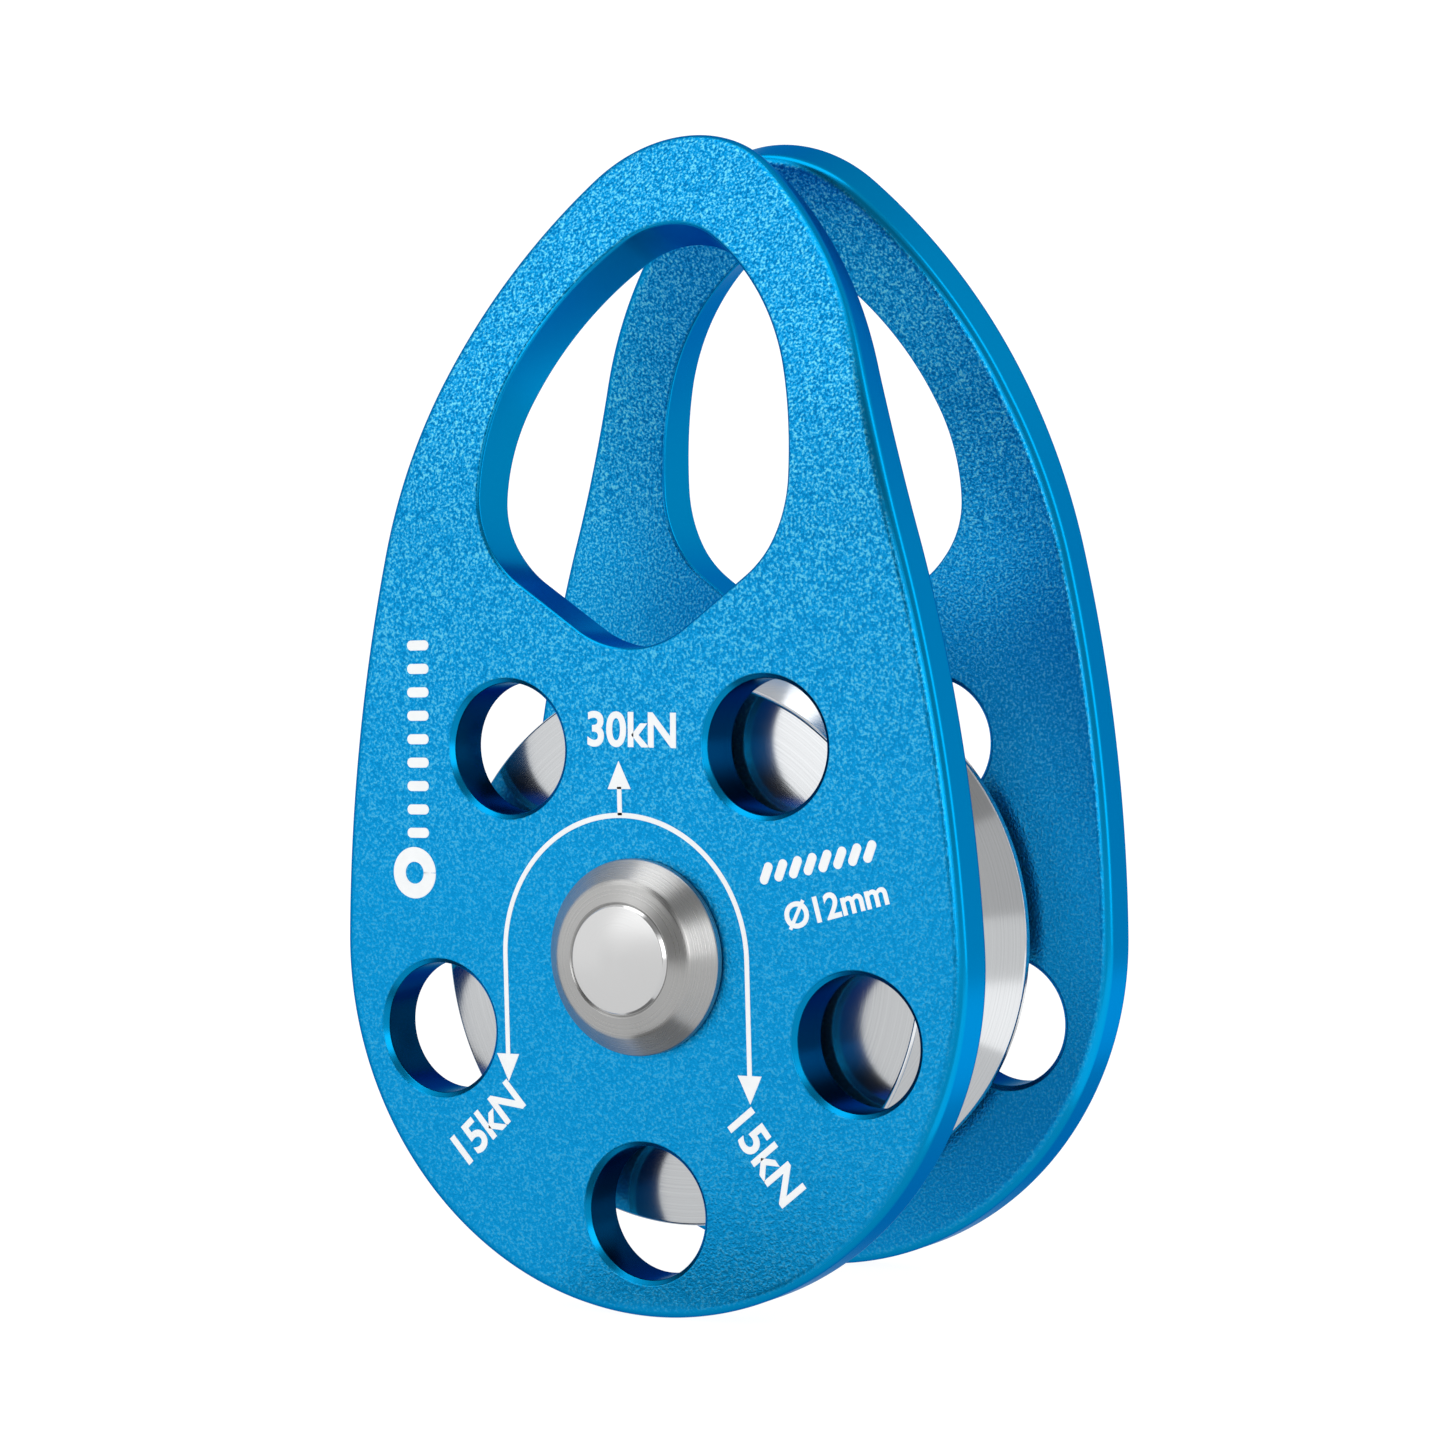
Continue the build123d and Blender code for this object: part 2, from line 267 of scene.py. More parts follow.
def write_mesh(name: str, skin: Skin) -> bpy.types.Object:
    """Make an object at the origin from a skin, shaded by the skin's own outward directions.

    Args:
        name: The object's name.
        skin: Its surface in millimetres.

    Returns:
        The new object, linked to the scene.
    """
    mesh = bpy.data.meshes.new(name)
    mesh.from_pydata((skin.points * MM).tolist(), [], skin.faces)
    mesh.polygons.foreach_set("use_smooth", np.ones(len(mesh.polygons), bool))
    mesh.normals_split_custom_set_from_vertices(skin.normals.tolist())
    mesh.update()
    piece = bpy.data.objects.new(name, mesh)
    bpy.context.scene.collection.objects.link(piece)
    return piece


def revolved(profile: Profile, closed: bool, segments: int, upright: bool = False) -> Skin:
    """Turn a section about the axle: radius r at angle a goes to (r cos a, place, r sin a).

    Args:
        profile: Radius and place along the axis.
        closed: Whether the section is a closed ring.
        segments: Steps round the axis.
        upright: Turn about +Z instead of the axle's +Y.

    Returns:
        The skin of revolution.
    """
    turn = np.linspace(0, 2 * pi, segments, endpoint=False)[None, :]
    one = np.ones_like(turn)
    radius, place = profile.points[:, :1], profile.points[:, 1:]
    out, along = profile.normals[:, :1], profile.normals[:, 1:]
    points = np.stack([radius * np.cos(turn), place * one, radius * np.sin(turn)], axis=-1)
    normals = np.stack([out * np.cos(turn), along * one, out * np.sin(turn)], axis=-1)
    if upright:
        points, normals = points[..., [0, 2, 1]], normals[..., [0, 2, 1]]
    return facing_out(grid_skin(points, normals, wrap_rows=closed, wrap_columns=True))


def facing_out(skin: Skin) -> Skin:
    """The skin with its faces wound so that they look the way its outward directions point.

    Args:
        skin: The skin to wind.

    Returns:
        The new skin.
    """
    first = np.array([face[:3] for face in skin.faces])
    a, b, c = (skin.points[first[:, k]] for k in range(3))
    looks = np.einsum("ij,ij->i", np.cross(b - a, c - a), skin.normals[first].mean(axis=1))
    if looks.sum() < 0:
        return Skin(skin.points, skin.normals, [face[::-1] for face in skin.faces])
    return skin


def mirrored(skin: Skin) -> Skin:
    """The skin on the other end of the axle, with its faces turned over to stay outward."""
    flip = np.array([1.0, -1.0, 1.0])
    return Skin(skin.points * flip, skin.normals * flip, [face[::-1] for face in skin.faces])


# ---- Finishes ----


@dataclass(frozen=True)
class Finish:
    """What every finish has. Colours are sRGB, sizes are millimetres."""

    name: str
    colour: str
    roughness: float
    metallic: float = 1.0

    def material(self) -> bpy.types.Material:
        """Build the finish as a material."""
        raise NotImplementedError

    def start(self) -> tuple[bpy.types.Material, bpy.types.NodeTree, bpy.types.NodeSocket]:
        """An empty material, its tree, and the object coordinates that its patterns use.

        Returns:
            The material, the tree and the coordinates.
        """
        material = bpy.data.materials.new(self.name)
        material.use_nodes = True
        material.node_tree.nodes.clear()
        tree = material.node_tree
        place = add_node(tree, "ShaderNodeTexCoord").outputs["Object"]
        return material, tree, place

    def end(
        self,
        tree: bpy.types.NodeTree,
        links: dict[str | int, bpy.types.NodeSocket],
        values: dict[str | int, object] | None = None,
    ) -> None:
        """Add the shader and the output.

        Args:
            tree: The material's node tree.
            links: What feeds the shader.
            values: Its constants besides metallic and roughness.
        """
        constants = {"Metallic": self.metallic, "Roughness": self.roughness, **(values or {})}
        constants = {key: value for key, value in constants.items() if key not in links}
        shader = add_node(tree, "ShaderNodeBsdfPrincipled", values=constants, links=links)
        add_node(tree, "ShaderNodeOutputMaterial", links={"Surface": shader.outputs["BSDF"]})


@dataclass(frozen=True)
class BlastedAnodised(Finish):
    """Bead-blasted aluminium, dyed and anodised: a fine grain on a satin ground, with painted glints on its
    specks and painted shade in its pits.
    """

    # The speck colour is a painted glint: a painted highlight on the grain's bright specks.
    painted_glint: str = "#74DAEC"
    # The pit colour is painted shade in the grain's hollows.
    painted_pit_shade: str = "#0668A6"
    wall: str = "#048AC2"
    # The lightening holes' walls are painted this dark navy as painted shade.
    painted_hole_shade: str = "#02426A"
    edge_tint: str = "#3CA6DC"
    # How strongly the glints and the pit shade are painted, low on the plate and at the top: painted light,
    # lighter and more contrasted at the top.
    painted_top_light_low: float = 0.22
    painted_top_light_high: float = 0.85
    grain: float = 0.26
    grain_depth: float = 0.075
    wall_roughness: float = 0.25

    def material(self) -> bpy.types.Material:
        """Build the finish.

        The piece's blasted attribute is 1 on its faces and 0 on its cut walls, and a second attribute is 1
        on the straight walls of its lightening holes, which the finish darkens as painted shade. The grain is
        drawn about twice as coarse as real blasting, so that it shows. Its specks are painted bright as
        painted glints and its pits darkened as painted shade, both more towards the top, which leans into the
        light.

        Returns:
            The material.
        """
        material, tree, place = self.start()
        blasted = add_node(tree, "ShaderNodeAttribute", {"attribute_name": "blasted"}).outputs["Fac"]
        grain = add_node(tree, "ShaderNodeTexNoise", values={"Scale": 1 / (self.grain * MM), "Detail": 2.0,
                         "Roughness": 0.55}, links={"Vector": place}).outputs[0]
        specks = add_node(tree, "ShaderNodeMapRange", values={"From Min": 0.52, "From Max": 0.66},
                          links={"Value": grain}).outputs[0]
        height = add_node(tree, "ShaderNodeSeparateXYZ", links={0: place}).outputs["Z"]
        # Painted light: the grain's specks are painted brighter and its pits darker towards the top, where
        # the plate leans into the light.
        painted_top_light = add_node(tree, "ShaderNodeMapRange", values={"From Min": 5 * MM, "From Max": 50 * MM,
                           "To Min": self.painted_top_light_low, "To Max": self.painted_top_light_high},
                           links={"Value": height}).outputs[0]
        lit = add_node(tree, "ShaderNodeMath", {"operation": "MULTIPLY"},
                       links={0: specks, 1: painted_top_light}).outputs[0]
        shown = add_node(tree, "ShaderNodeMath", {"operation": "MULTIPLY"},
                         links={0: lit, 1: blasted}).outputs[0]
        # Painted shade: the grain's low spots are darkened towards the pit colour, more towards the top.
        pits = add_node(tree, "ShaderNodeMapRange", values={"From Min": 0.49, "From Max": 0.38},
                        links={"Value": grain}).outputs[0]
        painted_pit_shade_share = add_node(tree, "ShaderNodeMath", {"operation": "MULTIPLY"},
                        links={0: pits, 1: painted_top_light}).outputs[0]
        satin = add_node(tree, "ShaderNodeMix", {"data_type": "RGBA"}, values={6: linear(self.colour),
                         7: linear(self.painted_pit_shade)}, links={0: painted_pit_shade_share}).outputs[2]
        ground = add_node(tree, "ShaderNodeMix", {"data_type": "RGBA"}, values={6: linear(self.wall)},
                          links={0: blasted, 7: satin}).outputs[2]
        # Painted highlight: the grain's specks take the bright glint colour.
        colour = add_node(tree, "ShaderNodeMix", {"data_type": "RGBA"}, values={7: linear(self.painted_glint)},
                          links={0: shown, 6: ground}).outputs[2]
        # Painted shade: the lightening holes' straight walls are darkened to the hole colour.
        painted_hole_shade = add_node(tree, "ShaderNodeAttribute", {"attribute_name": "painted_hole_shade"}).outputs["Fac"]
        colour = add_node(tree, "ShaderNodeMix", {"data_type": "RGBA"}, values={7: linear(self.painted_hole_shade)},
                          links={0: painted_hole_shade, 6: colour}).outputs[2]
        rough = add_node(tree, "ShaderNodeMapRange", values={"To Min": self.wall_roughness,
                         "To Max": self.roughness}, links={"Value": blasted}).outputs[0]
        height = add_node(tree, "ShaderNodeMath", {"operation": "MULTIPLY"},
                          links={0: grain, 1: blasted}).outputs[0]
        bump = add_node(tree, "ShaderNodeBump", values={"Strength": 1.0, "Distance": self.grain_depth * MM},
                        links={"Height": height}).outputs[0]
        self.end(tree, {"Base Color": colour, "Roughness": rough, "Normal": bump},
                 {"Specular Tint": linear(self.edge_tint)})
        return material


@dataclass(frozen=True)
class Turned(Finish):
    """Metal turned on a lathe: fine uneven rings round the axle that stretch each reflection."""

    ring_pitch: float = 0.16
    ring_depth: float = 0.004
    shade: str = "#8C8F92"
    shade_share: float = 0.35
    anisotropy: float = 0.8

    def material(self) -> bpy.types.Material:
        """Build the finish.

        Noise of the distance from the axle plus the place along it makes the rings. The tangent runs
        round the axle, (-z, 0, x), and the highlight is turned a quarter, so that it spreads across
        the rings as it does on real turned metal.

        Returns:
            The material.
        """
        material, tree, place = self.start()
        parts = add_node(tree, "ShaderNodeSeparateXYZ", links={0: place})
        flat = add_node(tree, "ShaderNodeCombineXYZ",
                        links={"X": parts.outputs["X"], "Z": parts.outputs["Z"]})
        radius = add_node(tree, "ShaderNodeVectorMath", {"operation": "LENGTH"},
                          links={0: flat.outputs[0]}).outputs["Value"]
        along = add_node(tree, "ShaderNodeMath", {"operation": "ADD"},
                         links={0: radius, 1: parts.outputs["Y"]}).outputs[0]
        rings = add_node(tree, "ShaderNodeTexNoise", {"noise_dimensions": "1D"},
                         values={"Scale": 1 / (self.ring_pitch * MM), "Detail": 3.0, "Roughness": 0.6},
                         links={"W": along}).outputs[0]
        streak = add_node(tree, "ShaderNodeMath", {"operation": "MULTIPLY"}, values={1: self.shade_share},
                          links={0: rings}).outputs[0]
        colour = add_node(tree, "ShaderNodeMix", {"data_type": "RGBA"}, values={6: linear(self.colour),
                          7: linear(self.shade)}, links={0: streak}).outputs[2]
        rough = add_node(tree, "ShaderNodeMapRange", values={"To Min": self.roughness * 0.8,
                         "To Max": self.roughness * 1.25}, links={"Value": rings}).outputs[0]
        bump = add_node(tree, "ShaderNodeBump", values={"Strength": 1.0, "Distance": self.ring_depth * MM},
                        links={"Height": rings}).outputs[0]
        mirror = add_node(tree, "ShaderNodeMath", {"operation": "MULTIPLY"}, values={1: -1.0},
                          links={0: parts.outputs["Z"]}).outputs[0]
        around = add_node(tree, "ShaderNodeCombineXYZ",
                          links={"X": mirror, "Z": parts.outputs["X"]}).outputs[0]
        tangent = add_node(tree, "ShaderNodeVectorTransform", {
            "vector_type": "VECTOR", "convert_from": "OBJECT", "convert_to": "WORLD"},
                           links={0: around}).outputs[0]
        self.end(tree, {"Base Color": colour, "Roughness": rough, "Normal": bump, "Tangent": tangent},
                 {"Anisotropic": self.anisotropy, "Anisotropic Rotation": 0.25})
        return material


@dataclass(frozen=True)
class Mottled(Finish):
    """A plain made surface, such as moulded nylon, rubber, bronze or ink, with a slight uneven tone."""

    second: str = "#808080"
    patch: float = 1.2
    skin: float = 0.12
    skin_depth: float = 0.004

    def material(self) -> bpy.types.Material:
        """Build the finish from a broad noise for tone and a fine one for the skin.

        Returns:
            The material.
        """
        material, tree, place = self.start()
        patches = add_node(tree, "ShaderNodeTexNoise", values={"Scale": 1 / (self.patch * MM), "Detail": 3.0},
                           links={"Vector": place}).outputs[0]
        colour = add_node(tree, "ShaderNodeMix", {"data_type": "RGBA"}, values={6: linear(self.colour),
                          7: linear(self.second)}, links={0: patches}).outputs[2]
        fine = add_node(tree, "ShaderNodeTexNoise", values={"Scale": 1 / (self.skin * MM), "Detail": 2.0},
                        links={"Vector": place}).outputs[0]
        rough = add_node(tree, "ShaderNodeMapRange", values={"To Min": self.roughness * 0.9,
                         "To Max": self.roughness * 1.1}, links={"Value": fine}).outputs[0]
        bump = add_node(tree, "ShaderNodeBump", values={"Strength": 0.6, "Distance": self.skin_depth * MM},
                        links={"Height": fine}).outputs[0]
        self.end(tree, {"Base Color": colour, "Roughness": rough, "Normal": bump})
        return material


@dataclass(frozen=True)
class Finishes:
    """Every finish on the pulley."""

    # Dyed, bead-blasted and anodised 6082 aluminium: satin azure, its sparkle painted as glints.
    plate: Finish = BlastedAnodised("blasted_azure_anodised_aluminium", "#0E96D6", 0.36)
    # Turned 304 stainless steel: grey rings that catch the light in streaks.
    stainless: Finish = Turned("turned_stainless_steel", "#BCBBB9", 0.28, ring_depth=0.01, shade_share=0.55,
                                anisotropy=0.55)
    # The axle's faced ends: the same steel, finer and brighter.
    faced: Finish = Turned("faced_stainless_steel", "#DCDCDC", 0.15, ring_pitch=0.1, ring_depth=0.0005,
                            shade_share=0.2, anisotropy=0.3)
    # Turned and clear-anodised aluminium: bright satin rings.
    sheave: Finish = Turned("turned_clear_anodised_aluminium", "#D6D8DA", 0.14, ring_pitch=0.2,
                            ring_depth=0.0015,
                             anisotropy=0.35)
    # Sintered bronze, oil-filled: warm, dull and slightly uneven.
    bush: Finish = Mottled("sintered_bronze", "#A87A45", 0.45, 1.0, "#8A6238")
    # Blanked acetal washer: smooth, off-white and slightly glossy.
    washer: Finish = Mottled("white_acetal", "#E9E7DF", 0.35, 0.0, "#DAD8CF")
    # Turned bare aluminium spacers: pale grey and satin.
    spacer: Finish = Turned("turned_bare_aluminium", "#D0D2D4", 0.3)
    # Phosphated spring steel: near black with a dull shine.
    spring_steel: Finish = Mottled("phosphated_spring_steel", "#3A3B3D", 0.4, 1.0, "#2B2C2E")
    # Ground and polished bearing steel.
    bearing: Finish = Turned("ground_bearing_steel", "#D2D3D5", 0.14, ring_pitch=0.1, ring_depth=0.0008)
    # Glass-filled nylon cage: amber-beige and matt.
    cage: Finish = Mottled("glass_filled_nylon", "#CDBD97", 0.5, 0.0, "#BBA97F")
    # Nitrile rubber seal: black with a soft shine.
    seal: Finish = Mottled("black_nitrile_rubber", "#1A1A1B", 0.5, 0.0, "#232324")
    # Pad-printed white ink.
    ink: Finish = Mottled("white_pad_print_ink", "#F4F6F7", 0.5, 0.0, "#E6EAEC")


# ---- Side plates ----


@dataclass
class SidePlate:
    """A flat teardrop plate with an eye, five holes and a bore, whose upper part leans inwards."""

    side: Side
    finish: bpy.types.Material
    thickness: float = 5.0
    gap: float = 24.5
    cheek_radius: float = 32.4
    side_start_angle: float = 2.25
    side_end_angle: float = 21.140069
    apex_height: float = 75.5
    apex_radius: float = 13.4
    shoulder_depth: float = 22.356
    eye_half_width: float = 16.2
    eye_bottom_height: float = 27.5
    eye_widest_rise: float = 14.3
    eye_crown_wall: float = 9.2
    eye_corner_radius: float = 10.0
    eye_bottom_radius: float = 10.0
    eye_crown_radius: float = 8.0
    hole_radius: float = 6.0
    hole_circle_radius: float = 23.0
    hole_count: int = 5
    bore_radius: float = 7.5
    bend_start: float = 36.0
    bend_radius: float = 43.5
    lean: float = 21.0
    rear_swing: float = 3.0
    outer_rounding: float = 1.0
    eye_rounding: float = 0.35
    hole_chamfer: float = 0.45
    hole_softening: float = 0.22
    inset: float = 0.02
    edge_step: float = 0.5
    face_step: float = 1.5

    def outline(self) -> list[Arc]:
        """Right half of the outside: cheek, long side, shoulder and apex, each touching the next.

        Returns:
            The arcs, from the bottom up.
        """
        cheek = Arc(0, 0, self.cheek_radius, -90, self.side_start_angle)
        start_x = self.cheek_radius * cos(radians(self.side_start_angle))
        start_z = self.cheek_radius * sin(radians(self.side_start_angle))
        end_z = self.apex_height - self.shoulder_depth
        rise = sin(radians(self.side_end_angle)) - sin(radians(self.side_start_angle))
        side_radius = (end_z - start_z) / rise
        side = Arc(start_x - side_radius * cos(radians(self.side_start_angle)),
                   start_z - side_radius * sin(radians(self.side_start_angle)),
                   side_radius, self.side_start_angle, self.side_end_angle)
        normal_x, normal_z = cos(radians(self.side_end_angle)), sin(radians(self.side_end_angle))
        end_x = side.x + side_radius * normal_x
        apex_z = self.apex_height - self.apex_radius
        along = end_x * normal_x + (end_z - apex_z) * normal_z
        radius = (end_x**2 + (end_z - apex_z) ** 2 - self.apex_radius**2) / (2 * (along - self.apex_radius))
        shoulder_x, shoulder_z = end_x - radius * normal_x, end_z - radius * normal_z
        apex_start = degrees(atan2(apex_z - shoulder_z, -shoulder_x))
        shoulder = Arc(shoulder_x, shoulder_z, radius, self.side_end_angle, apex_start)
        return [cheek, side, shoulder, Arc(0, apex_z, self.apex_radius, apex_start, 90)]

    def eye(self) -> list[Arc]:
        """Right half of the eye: round bottom, straight flank, corner, and a pointed arch.

        Returns:
            The arcs, from the bottom up.
        """
        bottom_z = self.eye_bottom_height + self.eye_bottom_radius
        corner_x = self.eye_half_width - self.eye_corner_radius
        corner_z = self.eye_bottom_height + self.eye_widest_rise
        distance = hypot(corner_x, corner_z - bottom_z)
        slope = degrees(atan2(corner_z - bottom_z, corner_x))
        flank = slope - degrees(acos((self.eye_bottom_radius - self.eye_corner_radius) / distance))
        crown_z = self.apex_height - self.eye_crown_wall - self.eye_crown_radius
        rise = crown_z - corner_z
        arch_radius = (self.eye_half_width**2 + rise**2 - self.eye_crown_radius**2) / (
            2 * (self.eye_half_width - self.eye_crown_radius))
        arch_x = self.eye_half_width - arch_radius
        crown_start = degrees(atan2(rise, -arch_x))
        return [Arc(0, bottom_z, self.eye_bottom_radius, -90, flank),
                Arc(corner_x, corner_z, self.eye_corner_radius, flank, 0),
                Arc(arch_x, corner_z, arch_radius, 0, crown_start),
                Arc(0, crown_z, self.eye_crown_radius, crown_start, 90)]

    def loop(self, arcs: list[Arc]) -> Profile:
        """The whole closed outline from its right half, anticlockwise from its lowest point.

        Each arc is stepped evenly. A straight stretch between two arcs keeps their shared direction.

        Args:
            arcs: The right half, from the lowest point to the highest.

        Returns:
            Points with the direction away from the inside of the outline.
        """
        points, outward = [], []
        for arc in arcs:
            steps = max(6, ceil(arc.radius * radians(arc.end - arc.start) / self.edge_step))
            found, away = arc.at(np.linspace(arc.start, arc.end, steps + 1))
            if points and np.linalg.norm(points[-1][-1] - found[0]) > 1e-6:
                last = points[-1][-1]
                count = ceil(np.linalg.norm(found[0] - last) / self.edge_step)
                share = np.linspace(0, 1, count + 1)[1:-1, None]
                points.append(last + share * (found[0] - last))
                outward.append(np.repeat(away[:1], len(share), axis=0))
                points.append(found)
                outward.append(away)
                continue
            points.append(found[1:] if points else found)
            outward.append(away[1:] if outward else away)
        right, away = np.concatenate(points), np.concatenate(outward)
        flip = np.array([-1.0, 1.0])
        return Profile(np.concatenate([right, right[-2:0:-1] * flip]),
                       np.concatenate([away, away[-2:0:-1] * flip]))

    def circle(self, x: float, z: float, radius: float) -> Profile:
        """A round hole's edge, stepped evenly.

        Args:
            x: The centre's place across.
            z: The centre's height.
            radius: The hole's radius.

        Returns:
            The edge.
        """
        steps = max(96, ceil(2 * pi * radius / self.edge_step))
        points, away = Arc(x, z, radius, 0, 360).at(np.linspace(0, 360, steps, endpoint=False))
        return Profile(points, away)

    def edge_section(self, rounding: float) -> Profile:
        """A rounded edge's section, as depth into the metal and place through the thickness.

        Args:
            rounding: The edge's radius.

        Returns:
            The section.
        """
        half = self.thickness / 2
        far = 4 * rounding
        section = softened([(far, half, 0), (0, half, rounding), (0, -half, rounding), (far, -half, 0)],
                           closed=False, chord=rounding * 0.22)
        return Profile(section.points[1:-1], section.normals[1:-1])

    def chamfer_section(self) -> Profile:
        """A chamfered and slightly softened edge's section, in the same coordinates.

        Returns:
            The section.
        """
        half, cut, soft = self.thickness / 2, self.hole_chamfer, self.hole_softening
        far = 3 * cut
        section = softened([(far, half, 0), (cut, half, soft), (0, half - cut, soft), (0, cut - half, soft),
                            (cut, -half, soft), (far, -half, 0)], closed=False, chord=0.06)
        return Profile(section.points[1:-1], section.normals[1:-1])

    def edge_wall(self, loop: Profile, section: Profile, inside: bool) -> tuple[Skin, np.ndarray]:
        """Carry an edge's section round a loop.

        A point is the loop's point moved into the metal by the section's depth, at the section's
        place through the thickness.

        Args:
            loop: The edge's outline.
            section: Depth and place, with directions out of the metal.
            inside: Whether the loop bounds a hole, so that the metal is outside it.

        Returns:
            The wall in flat coordinates (across, through, up), and the front rim's points.
        """
        away = -loop.normals if inside else loop.normals
        depth, through = section.points[:, :1, None], section.points[:, 1:, None]
        flat = loop.points[None] - away[None] * depth
        side, up = -away[None] * section.normals[:, :1, None], section.normals[:, 1:, None]
        points = np.stack([flat[..., 0], np.broadcast_to(through[..., 0], flat.shape[:2]), flat[..., 1]], -1)
        normals = np.stack([side[..., 0], np.broadcast_to(up[..., 0], flat.shape[:2]), side[..., 1]], -1)
        skin = facing_out(grid_skin(points, unit(normals), wrap_rows=False, wrap_columns=True))
        return skin, flat[0]

    def face(self, rims: list[np.ndarray]) -> tuple[np.ndarray, np.ndarray]:
        """Fill the flat face between its rims with triangles over an even pattern of points.

        Args:
            rims: The outside rim first, then the rim of each hole.

        Returns:
            The face's points across and up, and its triangles, anticlockwise.
        """
        low, high = rims[0].min(axis=0), rims[0].max(axis=0)
        rows = np.arange(low[1], high[1], self.face_step * sqrt(3) / 2)
        across = np.arange(low[0], high[0], self.face_step)
        mesh_x = across[None, :] + np.where(np.arange(len(rows)) % 2, self.face_step / 2, 0)[:, None]
        spots = np.stack([mesh_x, np.broadcast_to(rows[:, None], mesh_x.shape)], axis=-1).reshape(-1, 2)
        edge = np.concatenate(rims)
        near = np.min(np.linalg.norm(spots[:, None] - edge[None, ::2], axis=-1), axis=1)
        spots = spots[near > 0.6 * self.face_step]
        spots = spots[self.in_metal(spots, rims)]
        points = np.concatenate([edge, spots])
        pairs, offset = [], 0
        for rim in rims:
            ring = np.arange(len(rim))
            pairs += (np.stack([ring, np.roll(ring, -1)], axis=-1) + offset).tolist()
            offset += len(rim)
        found = delaunay_2d_cdt([Vector(p) for p in points], pairs, [], 0, 1e-7)
        settled = np.array([points[given[0]] if given else tuple(p) for p, given in zip(found[0], found[3])])
        triangles = np.array([face for face in found[2] if len(face) == 3])
        middles = settled[triangles].mean(axis=1)
        return settled, triangles[self.in_metal(middles, rims)]

    @staticmethod
    def in_metal(spots: np.ndarray, rims: list[np.ndarray]) -> np.ndarray:
        """Which points lie in the plate: a ray to the right crosses all rims an odd number of times.

        Args:
            spots: Points on the face.
            rims: The closed edges round the face.

        Returns:
            True for each point in the plate.
        """
        crossings = np.zeros(len(spots), int)
        for rim in rims:
            start, end = rim, np.roll(rim, -1, axis=0)
            above = (start[None, :, 1] > spots[:, None, 1]) != (end[None, :, 1] > spots[:, None, 1])
            rise = np.where(end[:, 1] == start[:, 1], 1e-12, end[:, 1] - start[:, 1])
            meet = start[:, 0] + (spots[:, None, 1] - start[None, :, 1]) * (end[:, 0] - start[:, 0]) / rise
            crossings += (above & (meet > spots[:, None, 0])).sum(axis=1)
        return crossings % 2 == 1

    def lean_in(self, flat: np.ndarray, directions: np.ndarray) -> tuple[np.ndarray, np.ndarray]:
        """Bend flat coordinates to the plate's real place.

        Up to the bend's start the plate is upright. Past it the middle surface runs round an arc of
        the bend radius until it leans by the full angle, then straight on. A point keeps its distance
        from the middle surface, along that surface's own outward direction.

        Args:
            flat: Across, through (outwards from the middle surface) and up.
            directions: Directions in the same coordinates.

        Returns:
            The points and directions in the pulley's frame.
        """
        across, through, height = flat[:, 0], flat[:, 1], flat[:, 2]
        angle = np.clip((height - self.bend_start) / self.bend_radius, 0, radians(self.lean))
        beyond = height - self.bend_start - self.bend_radius * angle
        inward = self.bend_radius * (1 - np.cos(angle)) + beyond * np.sin(angle)
        up = self.bend_start + self.bend_radius * np.sin(angle) + beyond * np.cos(angle)
        inward -= through * np.cos(angle)
        up += through * np.sin(angle)
        middle = (self.gap + self.thickness) / 2
        points = np.stack([across, self.side.value * (middle - inward), up], axis=-1)
        along = directions[:, 1] * np.cos(angle) - directions[:, 2] * np.sin(angle)
        climb = directions[:, 1] * np.sin(angle) + directions[:, 2] * np.cos(angle)
        turned = np.stack([directions[:, 0], self.side.value * along, climb], axis=-1)
        if self.side is Side.REAR:
            swing = np.array(Matrix.Rotation(radians(self.rear_swing), 3, "Y"))
            points, turned = points @ swing.T, turned @ swing.T
        return points, turned

    def in_holes(self, flat: Skin, holes: np.ndarray) -> np.ndarray:
        """1 for each vertex on a lightening hole's straight wall, 0 elsewhere.

        Args:
            flat: The plate before it leans.
            holes: The holes' directions, in radians.

        Returns:
            A number for each vertex.
        """
        centres = self.hole_circle_radius * np.stack([np.cos(holes), np.sin(holes)], axis=-1)
        spread = np.linalg.norm(flat.points[:, None, [0, 2]] - centres[None], axis=-1).min(axis=1)
        return (spread < self.hole_radius + 0.02) & (np.abs(flat.normals[:, 1]) < 0.3)

    def build(self) -> bpy.types.Object:
        """Make the plate, with what its finish reads: which vertices are blasted, and which lie on the
        lightening holes' walls, which it darkens as painted shade.

        Returns:
            The plate.
        """
        holes = np.radians(-90 + 360 / self.hole_count * np.arange(self.hole_count))
        rounded = self.edge_section(self.outer_rounding)
        fine = self.edge_section(self.eye_rounding)
        chamfer = self.chamfer_section()
        outline = self.loop(self.outline())
        outline = Profile(outline.points - self.inset * outline.normals, outline.normals)
        edges = [self.edge_wall(outline, rounded, inside=False),
                 self.edge_wall(self.loop(self.eye()), fine, inside=True),
                 self.edge_wall(self.circle(0, 0, self.bore_radius), self.edge_section(0.2), inside=True)]
        for turn in holes:
            centre = self.hole_circle_radius * np.array([cos(turn), sin(turn)])
            edges.append(self.edge_wall(self.circle(*centre, self.hole_radius), chamfer, inside=True))
        spots, triangles = self.face([rim for _, rim in edges])
        skins = [skin for skin, _ in edges]
        half = self.thickness / 2
        for sign in (1, -1):
            points = np.stack([spots[:, 0], np.full(len(spots), sign * half), spots[:, 1]], axis=-1)
            normals = np.tile([0.0, float(sign), 0.0], (len(spots), 1))
            skins.append(facing_out(Skin(points, normals, triangles.tolist())))
        flat = welded(joined(skins))
        points, normals = self.lean_in(flat.points, flat.normals)
        skin = facing_each(Skin(points, normals, flat.faces))
        plate = write_mesh(f"{self.side.word}_side_plate_skin", skin)
